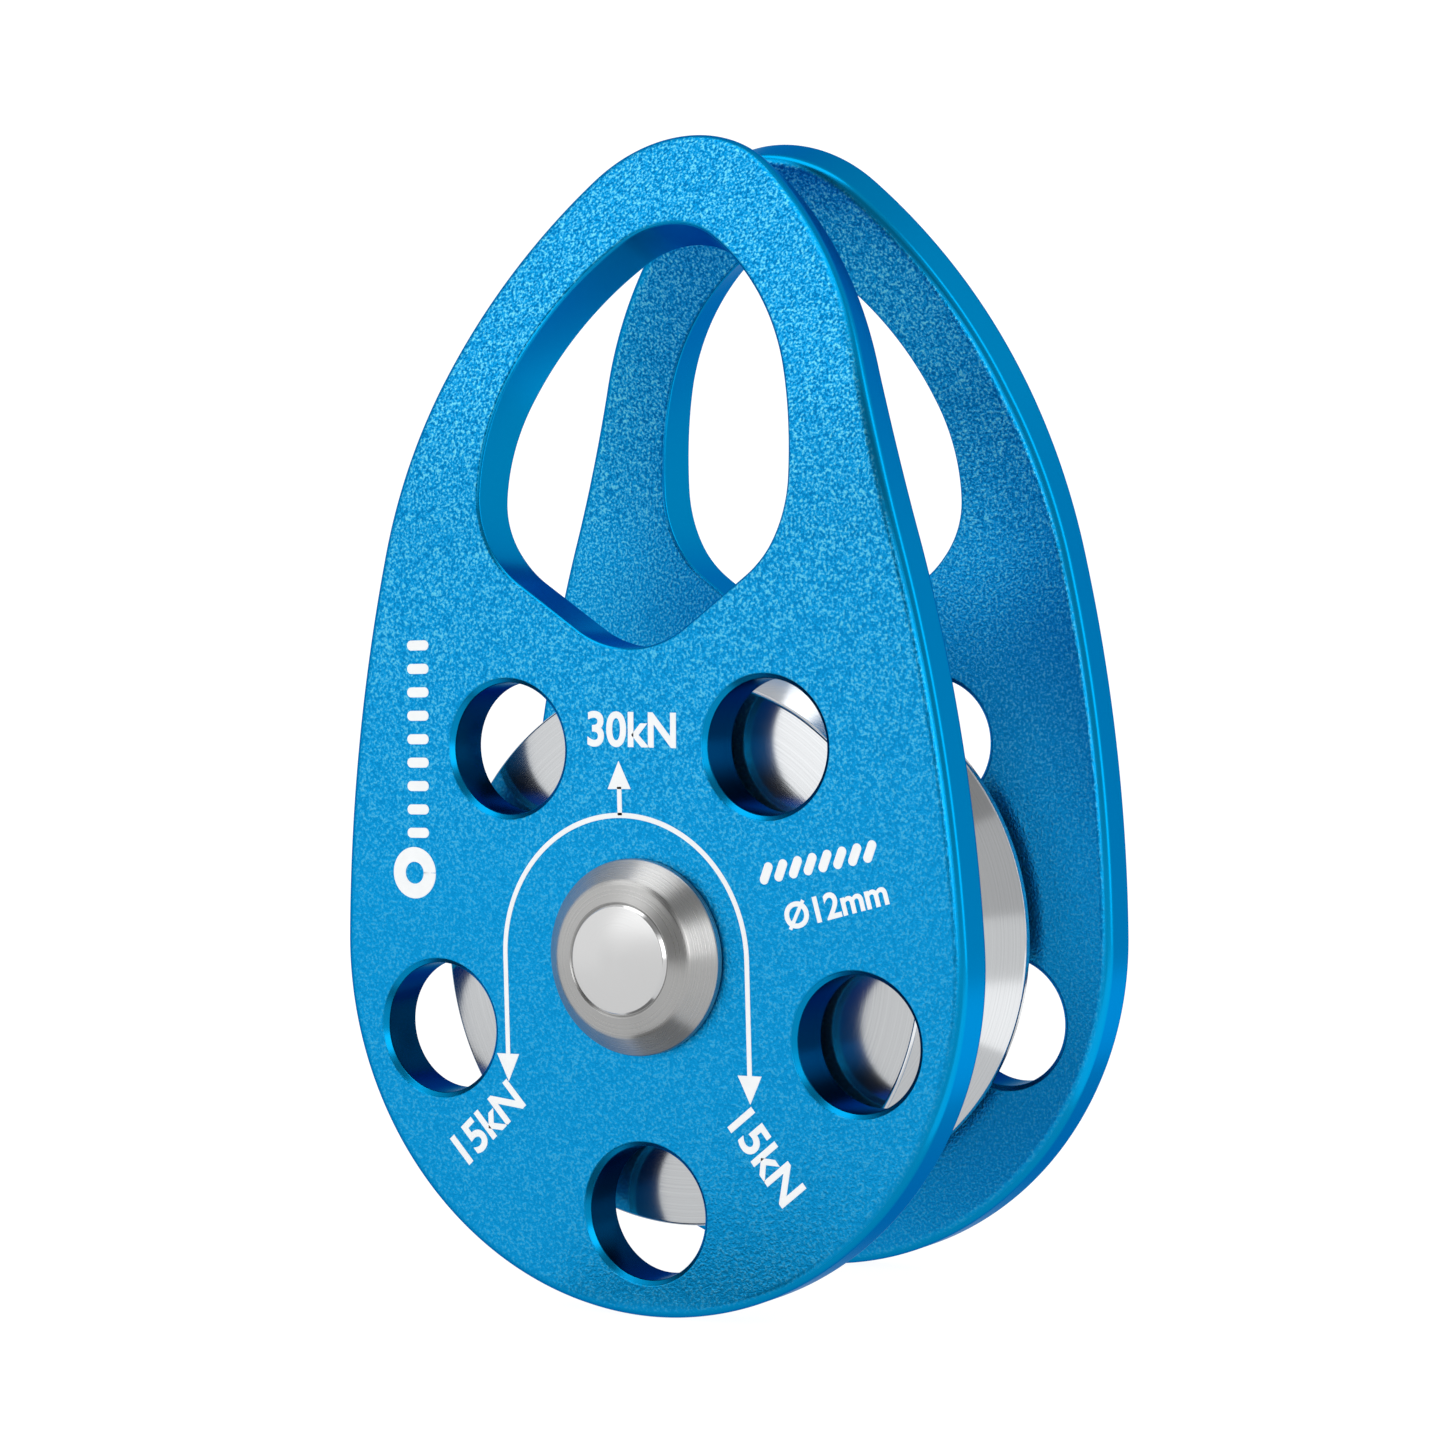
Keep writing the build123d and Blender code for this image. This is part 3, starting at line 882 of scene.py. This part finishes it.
        # Painted shade: the vertices on the lightening holes' walls are marked for the finish to darken.
        painted_hole_shade = plate.data.attributes.new("painted_hole_shade", "FLOAT", "POINT")
        painted_hole_shade.data.foreach_set("value", self.in_holes(flat, holes).astype(np.float32))
        blasted = plate.data.attributes.new("blasted", "FLOAT", "POINT")
        faced = np.clip(np.abs(flat.normals[:, 1]) * 6 - 5, 0, 1)
        blasted.data.foreach_set("value", faced.astype(np.float32))
        plate.data.materials.append(self.finish)
        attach(plate, f"{self.side.word}_side")
        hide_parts(f"{self.side.word}_side_plate")
        LOG.info("side plate %s: %d faces", self.side.word, len(plate.data.polygons))
        return plate


def facing_each(skin: Skin) -> Skin:
    """The skin with every face wound on its own to look the way its outward directions point.

    Args:
        skin: The skin to wind.

    Returns:
        The new skin.
    """
    first = np.array([face[:3] for face in skin.faces])
    a, b, c = (skin.points[first[:, k]] for k in range(3))
    looks = np.einsum("ij,ij->i", np.cross(b - a, c - a), skin.normals[first].mean(axis=1))
    return Skin(skin.points, skin.normals,
                [face if look >= 0 else face[::-1] for face, look in zip(skin.faces, looks.tolist())])


# ---- Turned pieces ----


@dataclass
class TurnedPiece:
    """A piece turned about the axle: its section's corners are (radius, place, rounding)."""

    name: str
    node: str
    body: str
    slot: str
    finish: bpy.types.Material
    corners: list[tuple[float, float, float]]
    side: Side = Side.REAR
    closed: bool = True
    segments: int = 192

    def build(self) -> bpy.types.Object:
        """Make the piece from its softened section.

        Returns:
            The piece.
        """
        skin = revolved(softened(self.corners, self.closed), self.closed, self.segments)
        if self.side is Side.FRONT:
            skin = mirrored(skin)
        piece = write_mesh(self.name, skin)
        piece.data.materials.append(self.finish)
        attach(piece, self.body)
        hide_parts(self.node)
        LOG.info("%s: %d faces", self.name, len(piece.data.polygons))
        return piece


@dataclass
class AxleSet:
    """The axle with everything that stands still on it: collars, washers and spacers."""

    finishes: dict[str, bpy.types.Material]
    axle_radius: float = 5.0
    axle_half_length: float = 21.0
    axle_chamfer: float = 0.3
    dome: float = 0.25
    sleeve_radius: float = 6.5
    flange_radius: float = 8.8
    flange_start: float = 17.4
    rim_height: float = 0.7
    cone_radius: float = 6.9
    cone_height: float = 1.9
    face_height: float = 0.6
    bore_chamfer: float = 0.15
    washer_radius: float = 9.5
    washer_start: float = 11.3
    washer_end: float = 12.1
    spacer_radius: float = 7.0
    bearing_face: float = 8.8
    web_half_width: float = 0.8
    plate_inner_face: float = 12.25
    plate_outer_face: float = 17.25
    bush_inner_radius: float = 6.53
    bush_outer_radius: float = 7.5

    def axle(self) -> bpy.types.Object:
        """The round axle, with chamfered ends whose faces are slightly domed towards the middle.

        Returns:
            The piece.
        """
        end, cut, radius = self.axle_half_length, self.axle_chamfer, self.axle_radius
        edge = end - self.dome
        corners = [(0, -end, 0), (radius - cut, -edge, 0.12), (radius, cut - edge, 0.12),
                   (radius, edge - cut, 0.12), (radius - cut, edge, 0.12), (0, end, 0)]
        return TurnedPiece("axle", "axle_pin", "axle", "stainless", self.finishes["faced"], corners,
                           closed=False).build()

    def collar(self, side: Side) -> bpy.types.Object:
        """A collar: its sleeve runs in the plate's bush and its coned flange covers the bore.

        Args:
            side: The side it stands on.

        Returns:
            The piece.
        """
        rim = self.flange_start + self.rim_height
        cone = rim + self.cone_height
        face = cone + self.face_height
        corners = [(self.axle_radius, self.washer_end, 0.05), (self.sleeve_radius, self.washer_end, 0.05),
                   (self.sleeve_radius, self.flange_start, 0.05),
                   (self.flange_radius, self.flange_start, 0.1),
                   (self.flange_radius, rim, 0.35), (self.cone_radius, cone, 1.6),
                   (self.axle_radius + self.bore_chamfer, face, 0.05),
                   (self.axle_radius, face - self.bore_chamfer, 0.04)]
        piece = TurnedPiece(f"{side.word}_axle_collar", f"{side.word}_collar", "axle", "stainless",
                            self.finishes["stainless"], corners, side)
        return piece.build()

    def ring(self, name: str, slot: str, body: str, side: Side, section: tuple[float, float, float, float],
             rounding: float) -> bpy.types.Object:
        """A plain ring with softened edges, from its inner and outer radius, start and end.

        Args:
            name: The node's name without its side.
            slot: The name of its finish.
            body: The body that it rides on.
            side: The side it stands on.
            section: Inner radius, outer radius, start and end.
            rounding: The radius of its softened edges.

        Returns:
            The piece.
        """
        inner, outer, start, end = section
        corners = [(inner, start, rounding), (outer, start, rounding), (outer, end, rounding),
                   (inner, end, rounding)]
        return TurnedPiece(f"{side.word}_{name}_ring", f"{side.word}_{name}", body, slot, self.finishes[slot],
                           corners, side).build()

    def build(self) -> list[bpy.types.Object]:
        """Make every piece of the set.

        Returns:
            The pieces.
        """
        pieces = [self.axle()]
        half = self.web_half_width
        middle = [(self.axle_radius, -half, 0.1), (self.spacer_radius, -half, 0.1),
                  (self.spacer_radius, half, 0.1), (self.axle_radius, half, 0.1)]
        pieces.append(TurnedPiece("middle_spacer_ring", "middle_spacer", "axle", "spacer",
                                  self.finishes["spacer"], middle).build())
        for side in Side:
            pieces.append(self.collar(side))
            pieces.append(self.ring("thrust_washer", "washer", "axle", side, (
                self.axle_radius, self.washer_radius, self.washer_start, self.washer_end), 0.15))
            pieces.append(self.ring("bearing_spacer", "spacer", "axle", side, (
                self.axle_radius, self.spacer_radius, self.bearing_face, self.washer_start), 0.1))
            pieces.append(self.ring("plate_bush", "bush", f"{side.word}_side", side, (
                self.bush_inner_radius, self.bush_outer_radius, self.plate_inner_face,
                self.plate_outer_face), 0.12))
        return pieces


@dataclass
class Sheave:
    """The grooved wheel, and the seals of the sealed bearings that it runs on."""

    finishes: dict[str, bpy.types.Material]
    radius: float = 25.0
    half_width: float = 11.0
    lip_width: float = 0.8
    tread_radius: float = 17.0
    groove_radius: float = 7.0
    bore_radius: float = 13.0
    web_radius: float = 11.2
    web_half_width: float = 0.8
    bearing_width: float = 8.0
    ring_groove_width: float = 1.3
    ring_groove_depth: float = 0.6
    edge_softening: float = 0.25
    lip_softening: float = 0.6
    inner_shoulder: float = 7.1
    outer_shoulder: float = 10.9
    seal_thickness: float = 0.7
    seal_recess: float = 0.1
    seal_seat_depth: float = 0.4
    seal_lip_clearance: float = 0.06
    seal_bead: float = 0.8
    bead_height: float = 0.08

    def wheel(self) -> bpy.types.Object:
        """The wheel: its groove is one corner rounded to the rope's radius, between two flared flanks.

        Returns:
            The piece.
        """
        centre = self.tread_radius + self.groove_radius
        edge = self.half_width - self.lip_width
        rise = self.radius - centre
        flank = atan2(rise, edge) - acos(self.groove_radius / hypot(rise, edge))
        deepest = centre - self.groove_radius / cos(flank)
        bore, half, soft = self.bore_radius, self.half_width, self.edge_softening
        step, ring_end = self.web_half_width + self.bearing_width, self.ring_groove_width
        deep = bore + self.ring_groove_depth
        right = [(self.web_radius, self.web_half_width, 0.1), (bore, self.web_half_width, 0.05),
                 (bore, step, 0.05), (deep, step, 0.05), (deep, step + ring_end, 0.05),
                 (bore, step + ring_end, 0.1), (bore, half, 0.4), (self.radius, half, soft),
                 (self.radius, edge, self.lip_softening)]
        left = [(radius, -place, rounding) for radius, place, rounding in reversed(right)]
        corners = right + [(deepest, 0.0, self.groove_radius)] + left
        return TurnedPiece("sheave_wheel", "sheave", "sheave", "sheave", self.finishes["sheave"],
                           corners[::-1], segments=288).build()

    def seal(self, side: Side, outboard: bool) -> bpy.types.Object:
        """A seal with a raised bead round its middle and softened edges.

        Args:
            side: The bearing's side.
            outboard: Whether it is on the bearing's outer face.

        Returns:
            The piece.
        """
        middle = self.web_half_width + self.bearing_width / 2
        out = self.bearing_width / 2 - self.seal_recess
        inner = self.inner_shoulder + self.seal_lip_clearance
        outer = self.outer_shoulder + self.seal_seat_depth
        near, far = out - self.seal_thickness, out
        bead_in = (inner + outer) / 2 - self.seal_bead
        bead_out = (inner + outer) / 2 + self.seal_bead
        low = far - self.bead_height
        corners = [(inner, near, 0.08), (outer, near, 0.08), (outer, low, 0.08), (bead_out, low, 0.08),
                   (bead_out - self.bead_height, far, 0.08), (bead_in + self.bead_height, far, 0.08),
                   (bead_in, low, 0.08), (inner, low, 0.08)]
        sign = 1 if outboard else -1
        corners = [(radius, middle + sign * place, soft) for radius, place, soft in corners]
        if not outboard:
            corners = corners[::-1]
        word = "outboard" if outboard else "inboard"
        return TurnedPiece(f"{side.word}_{word}_seal_disc", f"{side.word}_bearing_{word}_seal", "sheave",
                           "seal", self.finishes["seal"], corners, side).build()

    def build(self) -> list[bpy.types.Object]:
        """Make the wheel and the seals."""
        return [self.wheel()] + [self.seal(side, outboard) for side in Side for outboard in (True, False)]


# ---- Printed marks ----


@dataclass
class PrintedMarks:
    """White marks printed on the front plate's face. Places are across and up from the axle."""

    ink: bpy.types.Material
    face: float = -17.25
    ink_height: float = 0.03
    line_half_width: float = 0.23
    arch_left: float = -14.3
    arch_right: float = 11.2
    arch_top: float = 12.6
    left_foot: float = -9.2
    right_foot: float = -10.2
    stem_top: float = 14.95
    arrow_length: float = 2.5
    arrow_half_width: float = 1.2
    figure_height: float = 3.0
    figure_weight: float = 0.035
    rope_start: tuple[float, float] = (13.4, 7.6)
    rope_slope: float = 11.0
    strand_count: int = 8
    strand_pitch: float = 1.5
    strand_rise: float = 0.85
    strand_slant: float = 0.55
    strand_half_width: float = 0.42
    ring_centre: tuple[float, float] = (-24.2, 7.2)
    ring_radius: float = 1.7
    ring_half_width: float = 0.68
    bar_count: int = 9
    bar_lowest: float = 10.9
    bar_highest: float = 28.2
    bar_half_length: float = 1.2
    bar_half_width: float = 0.45

    def stripe(self, path: np.ndarray, half_width: np.ndarray) -> Skin:
        """A flat stripe of ink: a thin rectangular section carried along a path on the face.

        Args:
            path: Points across and up.
            half_width: Half the stripe's width at each point.

        Returns:
            The closed stripe.
        """
        along = unit(np.gradient(path, axis=0))
        across = np.stack([along[:, 1], -along[:, 0]], axis=-1) * half_width[:, None]
        right, left = path + across, path - across
        near, far = self.face - self.ink_height, self.face
        corners = [np.stack([line[:, 0], np.full(len(path), depth), line[:, 1]], axis=-1)
                   for line, depth in ((right, near), (left, near), (left, far), (right, far))]
        grid = np.stack(corners, axis=1)
        normals = np.tile([0.0, -1.0, 0.0], (*grid.shape[:2], 1))
        skin = grid_skin(grid, normals, wrap_rows=False, wrap_columns=True)
        last = 4 * (len(path) - 1)
        caps = [[3, 2, 1, 0], [last, last + 1, last + 2, last + 3]]
        return Skin(skin.points, skin.normals, skin.faces + caps)

    def line(self, path: np.ndarray) -> Skin:
        """A stripe of the drawn line's own width."""
        return self.stripe(path, np.full(len(path), self.line_half_width))

    def arrow(self, base: Sequence[float], direction: Sequence[float]) -> Skin:
        """A solid arrowhead: a stripe that narrows evenly from its base to its tip.

        Args:
            base: The middle of the arrow's base.
            direction: Where it points.

        Returns:
            The arrowhead.
        """
        share = np.linspace(0, 1, 8)
        path = np.array(base) + np.outer(share * self.arrow_length, direction)
        return self.stripe(path, self.arrow_half_width * (1 - share) + 0.01)

    def bar(self, start: Sequence[float], end: Sequence[float], half_width: float) -> Skin:
        """A bar with round ends: near each end its half width follows a circle.

        Args:
            start: One end.
            end: The other end.
            half_width: Half its width.

        Returns:
            The bar.
        """
        start, end = np.array(start, float), np.array(end, float)
        length = np.linalg.norm(end - start)
        turn = np.linspace(0, pi / 2, 10)
        cap = half_width * (1 - np.cos(turn))
        place = np.concatenate([cap, length - cap[::-1]])
        width = np.concatenate([half_width * np.sin(turn), half_width * np.sin(turn[::-1])])
        return self.stripe(start + np.outer(place / length, end - start), width + 0.01)

    def write(self, name: str, skin: Skin) -> bpy.types.Object:
        """Make one printed piece that rides on the front plate, shaded flat.

        Args:
            name: The piece's name.
            skin: Its shape.

        Returns:
            The piece.
        """
        piece = bpy.data.objects.new(name, bpy.data.meshes.new(name))
        piece.data.from_pydata((skin.points * MM).tolist(), [], skin.faces)
        piece.data.materials.append(self.ink)
        bpy.context.scene.collection.objects.link(piece)
        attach(piece, "front_side")
        LOG.info("%s: %d faces", name, len(piece.data.polygons))
        return piece

    def load_path(self) -> bpy.types.Object:
        """An arch over the axle with an arrow at each foot, and an arrow up from its crown.

        Returns:
            The piece.
        """
        middle, reach = (self.arch_left + self.arch_right) / 2, (self.arch_right - self.arch_left) / 2
        turn = np.radians(np.linspace(0, 180, 73))
        arch = np.stack([middle + reach * np.cos(turn),
                         self.arch_top - reach + reach * np.sin(turn)], axis=-1)
        path = np.concatenate([[[self.arch_right, self.right_foot]], arch,
                               [[self.arch_left, self.left_foot]]])
        stem = np.array([[middle, self.arch_top], [middle, self.stem_top + 0.2]])
        parts = [self.line(path), self.line(stem), self.arrow((middle, self.stem_top), (0, 1)),
                 self.arrow((self.arch_left, self.left_foot), (0, -1)),
                 self.arrow((self.arch_right, self.right_foot), (0, -1))]
        return self.write("load_path_print", joined(parts))

    def figures(self, name: str, text: str, centre: tuple[float, float], angle: float,
                height: float) -> bpy.types.Object:
        """Plain rating figures.

        The letters stand in their own plane first. Each point then goes to the centre plus its x
        along the line of writing and its y across it.

        Args:
            name: The piece's name.
            text: The figures.
            centre: The middle of the writing, across and up.
            angle: The slope of the line of writing, in degrees.
            height: The height of a capital.

        Returns:
            The printed piece.
        """
        curve = bpy.data.curves.new(name, "FONT")
        curve.body = text
        curve.size = height / 0.7
        curve.offset = self.figure_weight * height
        curve.extrude = self.ink_height / 2
        curve.resolution_u = 6
        holder = bpy.data.objects.new(name, curve)
        bpy.context.scene.collection.objects.link(holder)
        bpy.context.view_layer.update()
        letters = bpy.data.meshes.new_from_object(holder.evaluated_get(bpy.context.evaluated_depsgraph_get()))
        bpy.data.objects.remove(holder)
        flat = np.empty(len(letters.vertices) * 3)
        letters.vertices.foreach_get("co", flat)
        flat = flat.reshape(-1, 3)
        flat[:, :2] -= (flat[:, :2].min(axis=0) + flat[:, :2].max(axis=0)) / 2
        turn = radians(angle)
        across = centre[0] + flat[:, 0] * cos(turn) - flat[:, 1] * sin(turn)
        up = centre[1] + flat[:, 0] * sin(turn) + flat[:, 1] * cos(turn)
        points = np.stack([across, self.face - self.ink_height / 2 - flat[:, 2], up], axis=-1)
        faces = [list(face.vertices) for face in letters.polygons]
        bpy.data.meshes.remove(letters)
        return self.write(name, Skin(points, points, faces))

    def rope_mark(self) -> bpy.types.Object:
        """A short twisted rope: slanted rounded strands in a row.

        Returns:
            The piece.
        """
        slope = np.array([cos(radians(self.rope_slope)), sin(radians(self.rope_slope))])
        rise = np.array([-slope[1], slope[0]])
        first = np.array(self.rope_start)
        strands = []
        for index in range(self.strand_count):
            foot = first + slope * self.strand_pitch * index
            low = foot - rise * self.strand_rise - slope * self.strand_slant
            high = foot + rise * self.strand_rise + slope * self.strand_slant
            strands.append(self.bar(low, high, self.strand_half_width))
        return self.write("rope_print", joined(strands))

    def plain_marks(self) -> bpy.types.Object:
        """A ring, with a ladder of plain bars above it up the plate's left side.

        Returns:
            The piece.
        """
        turn = np.linspace(0, 2 * pi, 65)
        ring = np.array(self.ring_centre) + self.ring_radius * np.stack([np.cos(turn), np.sin(turn)], axis=-1)
        parts = [self.stripe(ring, np.full(len(ring), self.ring_half_width))]
        reach = self.bar_half_length
        for height in np.linspace(self.bar_lowest, self.bar_highest, self.bar_count):
            middle = -23.7 + 0.03 * (height - 10)
            parts.append(self.bar((middle - reach, height), (middle + reach, height), self.bar_half_width))
        return self.write("plain_print", joined(parts))

    def build(self) -> list[bpy.types.Object]:
        """Make every printed piece.

        Returns:
            The pieces.
        """
        return [self.load_path(),
                self.figures("top_load_print", "30kN", (-0.1, 20.25), -1.5, self.figure_height),
                self.figures("left_load_print", "15kN", (-16.75, -15.6), 42.0, self.figure_height),
                self.figures("right_load_print", "15kN", (12.7, -17.3), -52.0, self.figure_height),
                self.figures("rope_size_print", "Ø12mm", (20.2, 5.0), 14.0, 2.2),
                self.rope_mark(), self.plain_marks()]


# ---- Studio ----


@dataclass
class Studio:
    """A white bowl of a floor, soft lights, and the camera."""

    floor_height: float = -32.4
    floor_radius: float = 900.0
    sweep_radius: float = 700.0
    wall_height: float = 900.0
    azimuth: float = 30.848
    elevation: float = 1.409
    roll: float = -1.468
    distance: float = 317.73
    across: float = 8.026
    up: float = 20.662
    lens: float = 88.87
    room_reflection: float = 0.68
    floor_reflection: float = 0.7
    face_centre: tuple[float, float, float] = (0.0, -17.25, 0.0)

    def bowl(self) -> None:
        """A flat floor that sweeps up into a wall all round: an arc turned about the vertical."""
        outer = self.floor_radius + self.sweep_radius
        corners = [(0.0, self.floor_height, 0.0), (outer, self.floor_height, self.sweep_radius),
                   (outer, self.floor_height + self.sweep_radius + self.wall_height, 0.0)]
        profile = softened(corners, closed=False, chord=60)
        inward = Profile(profile.points, -profile.normals)
        floor = write_mesh("studio_floor", revolved(inward, closed=False, segments=128, upright=True))
        floor.data.materials.append(self.bowl_material())

    def card(self, name: str, azimuths: tuple[float, float], elevations: tuple[float, float],
             brightness: float, reach: float = 300.0) -> None:
        """A card that only reflections see, part of a sphere round the pulley: a bright one is a softbox.

        A point on it is the card's reach times (sin a cos e, -cos a cos e, sin e).

        Args:
            name: The card's name.
            azimuths: From and to, round from the front, towards +X, in degrees.
            elevations: From and to, above the horizon, in degrees.
            brightness: How strongly it glows, where the white floor is about 1.
            reach: Its distance in millimetres.
        """
        turn = np.radians(np.linspace(*azimuths, 13))[None, :]
        rise = np.radians(np.linspace(*elevations, 9))[:, None]
        away = np.stack([np.sin(turn) * np.cos(rise), -np.cos(turn) * np.cos(rise),
                         np.broadcast_to(np.sin(rise), (9, 13))], axis=-1)
        points = away * reach + np.array(self.face_centre)
        self.reflected_only(name, facing_out(grid_skin(points, -away, False, False)), brightness)

    def low_card(self, name: str, across: tuple[float, float], along: tuple[float, float],
                 brightness: float) -> None:
        """A card that lies just above the floor, from its extents along X and Y, seen only in reflections.

        Args:
            name: The card's name.
            across: From and to along X.
            along: From and to along Y.
            brightness: How strongly it glows.
        """
        height = self.floor_height + 0.3
        corners = np.array([(across[0], along[0], height), (across[1], along[0], height),
                            (across[1], along[1], height), (across[0], along[1], height)])
        self.reflected_only(name, Skin(corners, np.tile([0.0, 0.0, 1.0], (4, 1)), [[0, 1, 2, 3]]), brightness)

    def reflected_only(self, name: str, skin: Skin, brightness: float) -> None:
        """Write a card that glows in reflections and shows nowhere else.

        Args:
            name: The card's name.
            skin: Its shape.
            brightness: How strongly it glows.
        """
        piece = write_mesh(name, skin)
        material, _, shader = self.glow(name, "#000000")
        shader.inputs["Emission Strength"].default_value = brightness
        piece.data.materials.append(material)
        piece.visible_camera = False
        piece.visible_diffuse = False
        piece.visible_shadow = False

    @staticmethod
    def glow(name: str, colour: str) -> tuple[bpy.types.Material, bpy.types.NodeTree, bpy.types.Node]:
        """A matt material that can also glow white.

        Args:
            name: The material's name.
            colour: Its sRGB colour.

        Returns:
            The material, its tree and its shader.
        """
        material = bpy.data.materials.new(name)
        material.use_nodes = True
        shader = material.node_tree.nodes["Principled BSDF"]
        shader.inputs["Base Color"].default_value = linear(colour)
        shader.inputs["Roughness"].default_value = 1.0
        shader.inputs["Specular IOR Level"].default_value = 0.0
        shader.inputs["Emission Color"].default_value = linear("#FFFFFF")
        return material, material.node_tree, shader

    def bowl_material(self) -> bpy.types.Material:
        """White where it is looked at, and a dim room, graded slightly with height, where it is reflected.

        Returns:
            The material.
        """
        material, tree, shader = self.glow("lit_white_card", "#707070")
        place = add_node(tree, "ShaderNodeTexCoord").outputs["Object"]
        height = add_node(tree, "ShaderNodeSeparateXYZ", links={0: place}).outputs["Z"]
        dim = add_node(tree, "ShaderNodeMapRange", values={"From Min": -30 * MM, "From Max": 60 * MM,
                       "To Min": self.floor_reflection, "To Max": self.room_reflection},
                       links={"Value": height}).outputs[0]
        reflected = add_node(tree, "ShaderNodeLightPath").outputs["Is Glossy Ray"]
        strength = add_node(tree, "ShaderNodeMix", {"data_type": "FLOAT"}, values={2: 0.95},
                            links={0: reflected, 3: dim}).outputs[0]
        tree.links.new(strength, shader.inputs["Emission Strength"])
        return material

    def camera(self) -> None:
        """A camera that looks at the front plate's face, offset across and up in its own view."""
        turn, rise, roll = radians(self.azimuth), radians(self.elevation), radians(self.roll)
        back = Vector((sin(turn) * cos(rise), -cos(turn) * cos(rise), sin(rise)))
        level = Vector((cos(turn), sin(turn), 0.0))
        above = back.cross(level)
        target = Vector(self.face_centre) + self.across * level + self.up * above
        right = cos(roll) * level + sin(roll) * above
        top = cos(roll) * above - sin(roll) * level
        eye = bpy.data.objects.new("camera", bpy.data.cameras.new("camera"))
        eye.data.lens = self.lens
        eye.data.sensor_width = 36.0
        eye.data.clip_start = 0.01
        eye.data.clip_end = 20.0
        turned = Matrix((right, top, back)).transposed().to_4x4()
        eye.matrix_world = Matrix.Translation((target + self.distance * back) * MM) @ turned
        bpy.context.scene.collection.objects.link(eye)
        bpy.context.scene.camera = eye

    def build(self) -> None:
        """Set up the floor, the lights and the camera."""
        scene = bpy.context.scene
        world = bpy.data.worlds.new("studio_air")
        world.use_nodes = True
        world.node_tree.nodes["Background"].inputs["Color"].default_value = linear("#FFFFFF")
        world.node_tree.nodes["Background"].inputs["Strength"].default_value = 0.7
        scene.world = world
        scene.view_settings.view_transform = "Standard"
        self.bowl()
        self.card("left_softbox", (-80, -31), (-8, 32), 0.98)
        self.card("front_softbox", (-31, -8), (-1.4, 32), 1.5)
        self.card("front_flag", (-8, 24), (-8, 60), 0.03)
        self.card("right_softbox", (36, 60), (0, 26), 2.6, reach=140.0)
        self.card("right_flag", (24, 80), (34, 64), 0.3, reach=150.0)
        self.card("grey_card", (60, 104), (2, 60), 0.55)
        self.card("rear_softbox", (106, 128), (-5, 50), 2.2)
        self.card("upper_softbox", (-60, -12), (38, 58), 1.8)
        self.card("top_softbox", (-110, 110), (66, 89), 2.2)
        self.low_card("low_right_card", (44, 200), (-28, 160), 1.35)
        self.low_card("low_front_flag", (-12, 14), (-40, -20), 0.2)
        self.camera()


# ---- The pulley ----

CARRIED_OVER = {
    "retaining_ring": "spring_steel",
    "bearing_outer_race": "bearing",
    "bearing_inner_race": "bearing",
    "bearing_balls": "bearing",
    "bearing_cage": "cage",
}


def dress_carried_over(finishes: dict[str, bpy.types.Material]) -> None:
    """Give the CAD nodes that stay shown their finishes.

    Args:
        finishes: Each finish by its name.
    """
    for side in Side:
        for name, finish in CARRIED_OVER.items():
            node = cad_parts[f"{side.word}_{name}"]
            node.material_slots[0].material = finishes[finish]
            LOG.info("%s keeps its CAD shape", node.name)


def main() -> None:
    """Build the studio and the pulley, piece by piece."""
    logging.basicConfig(level=logging.INFO, format="%(name)s: %(message)s")
    made = Finishes()
    finishes = {key: getattr(made, key).material() for key in Finishes.__dataclass_fields__}
    Studio().build()
    for side in Side:
        SidePlate(side, finishes["plate"]).build()
    AxleSet(finishes).build()
    Sheave(finishes).build()
    PrintedMarks(finishes["ink"]).build()
    dress_carried_over(finishes)


if __name__ == "__main__":
    main()
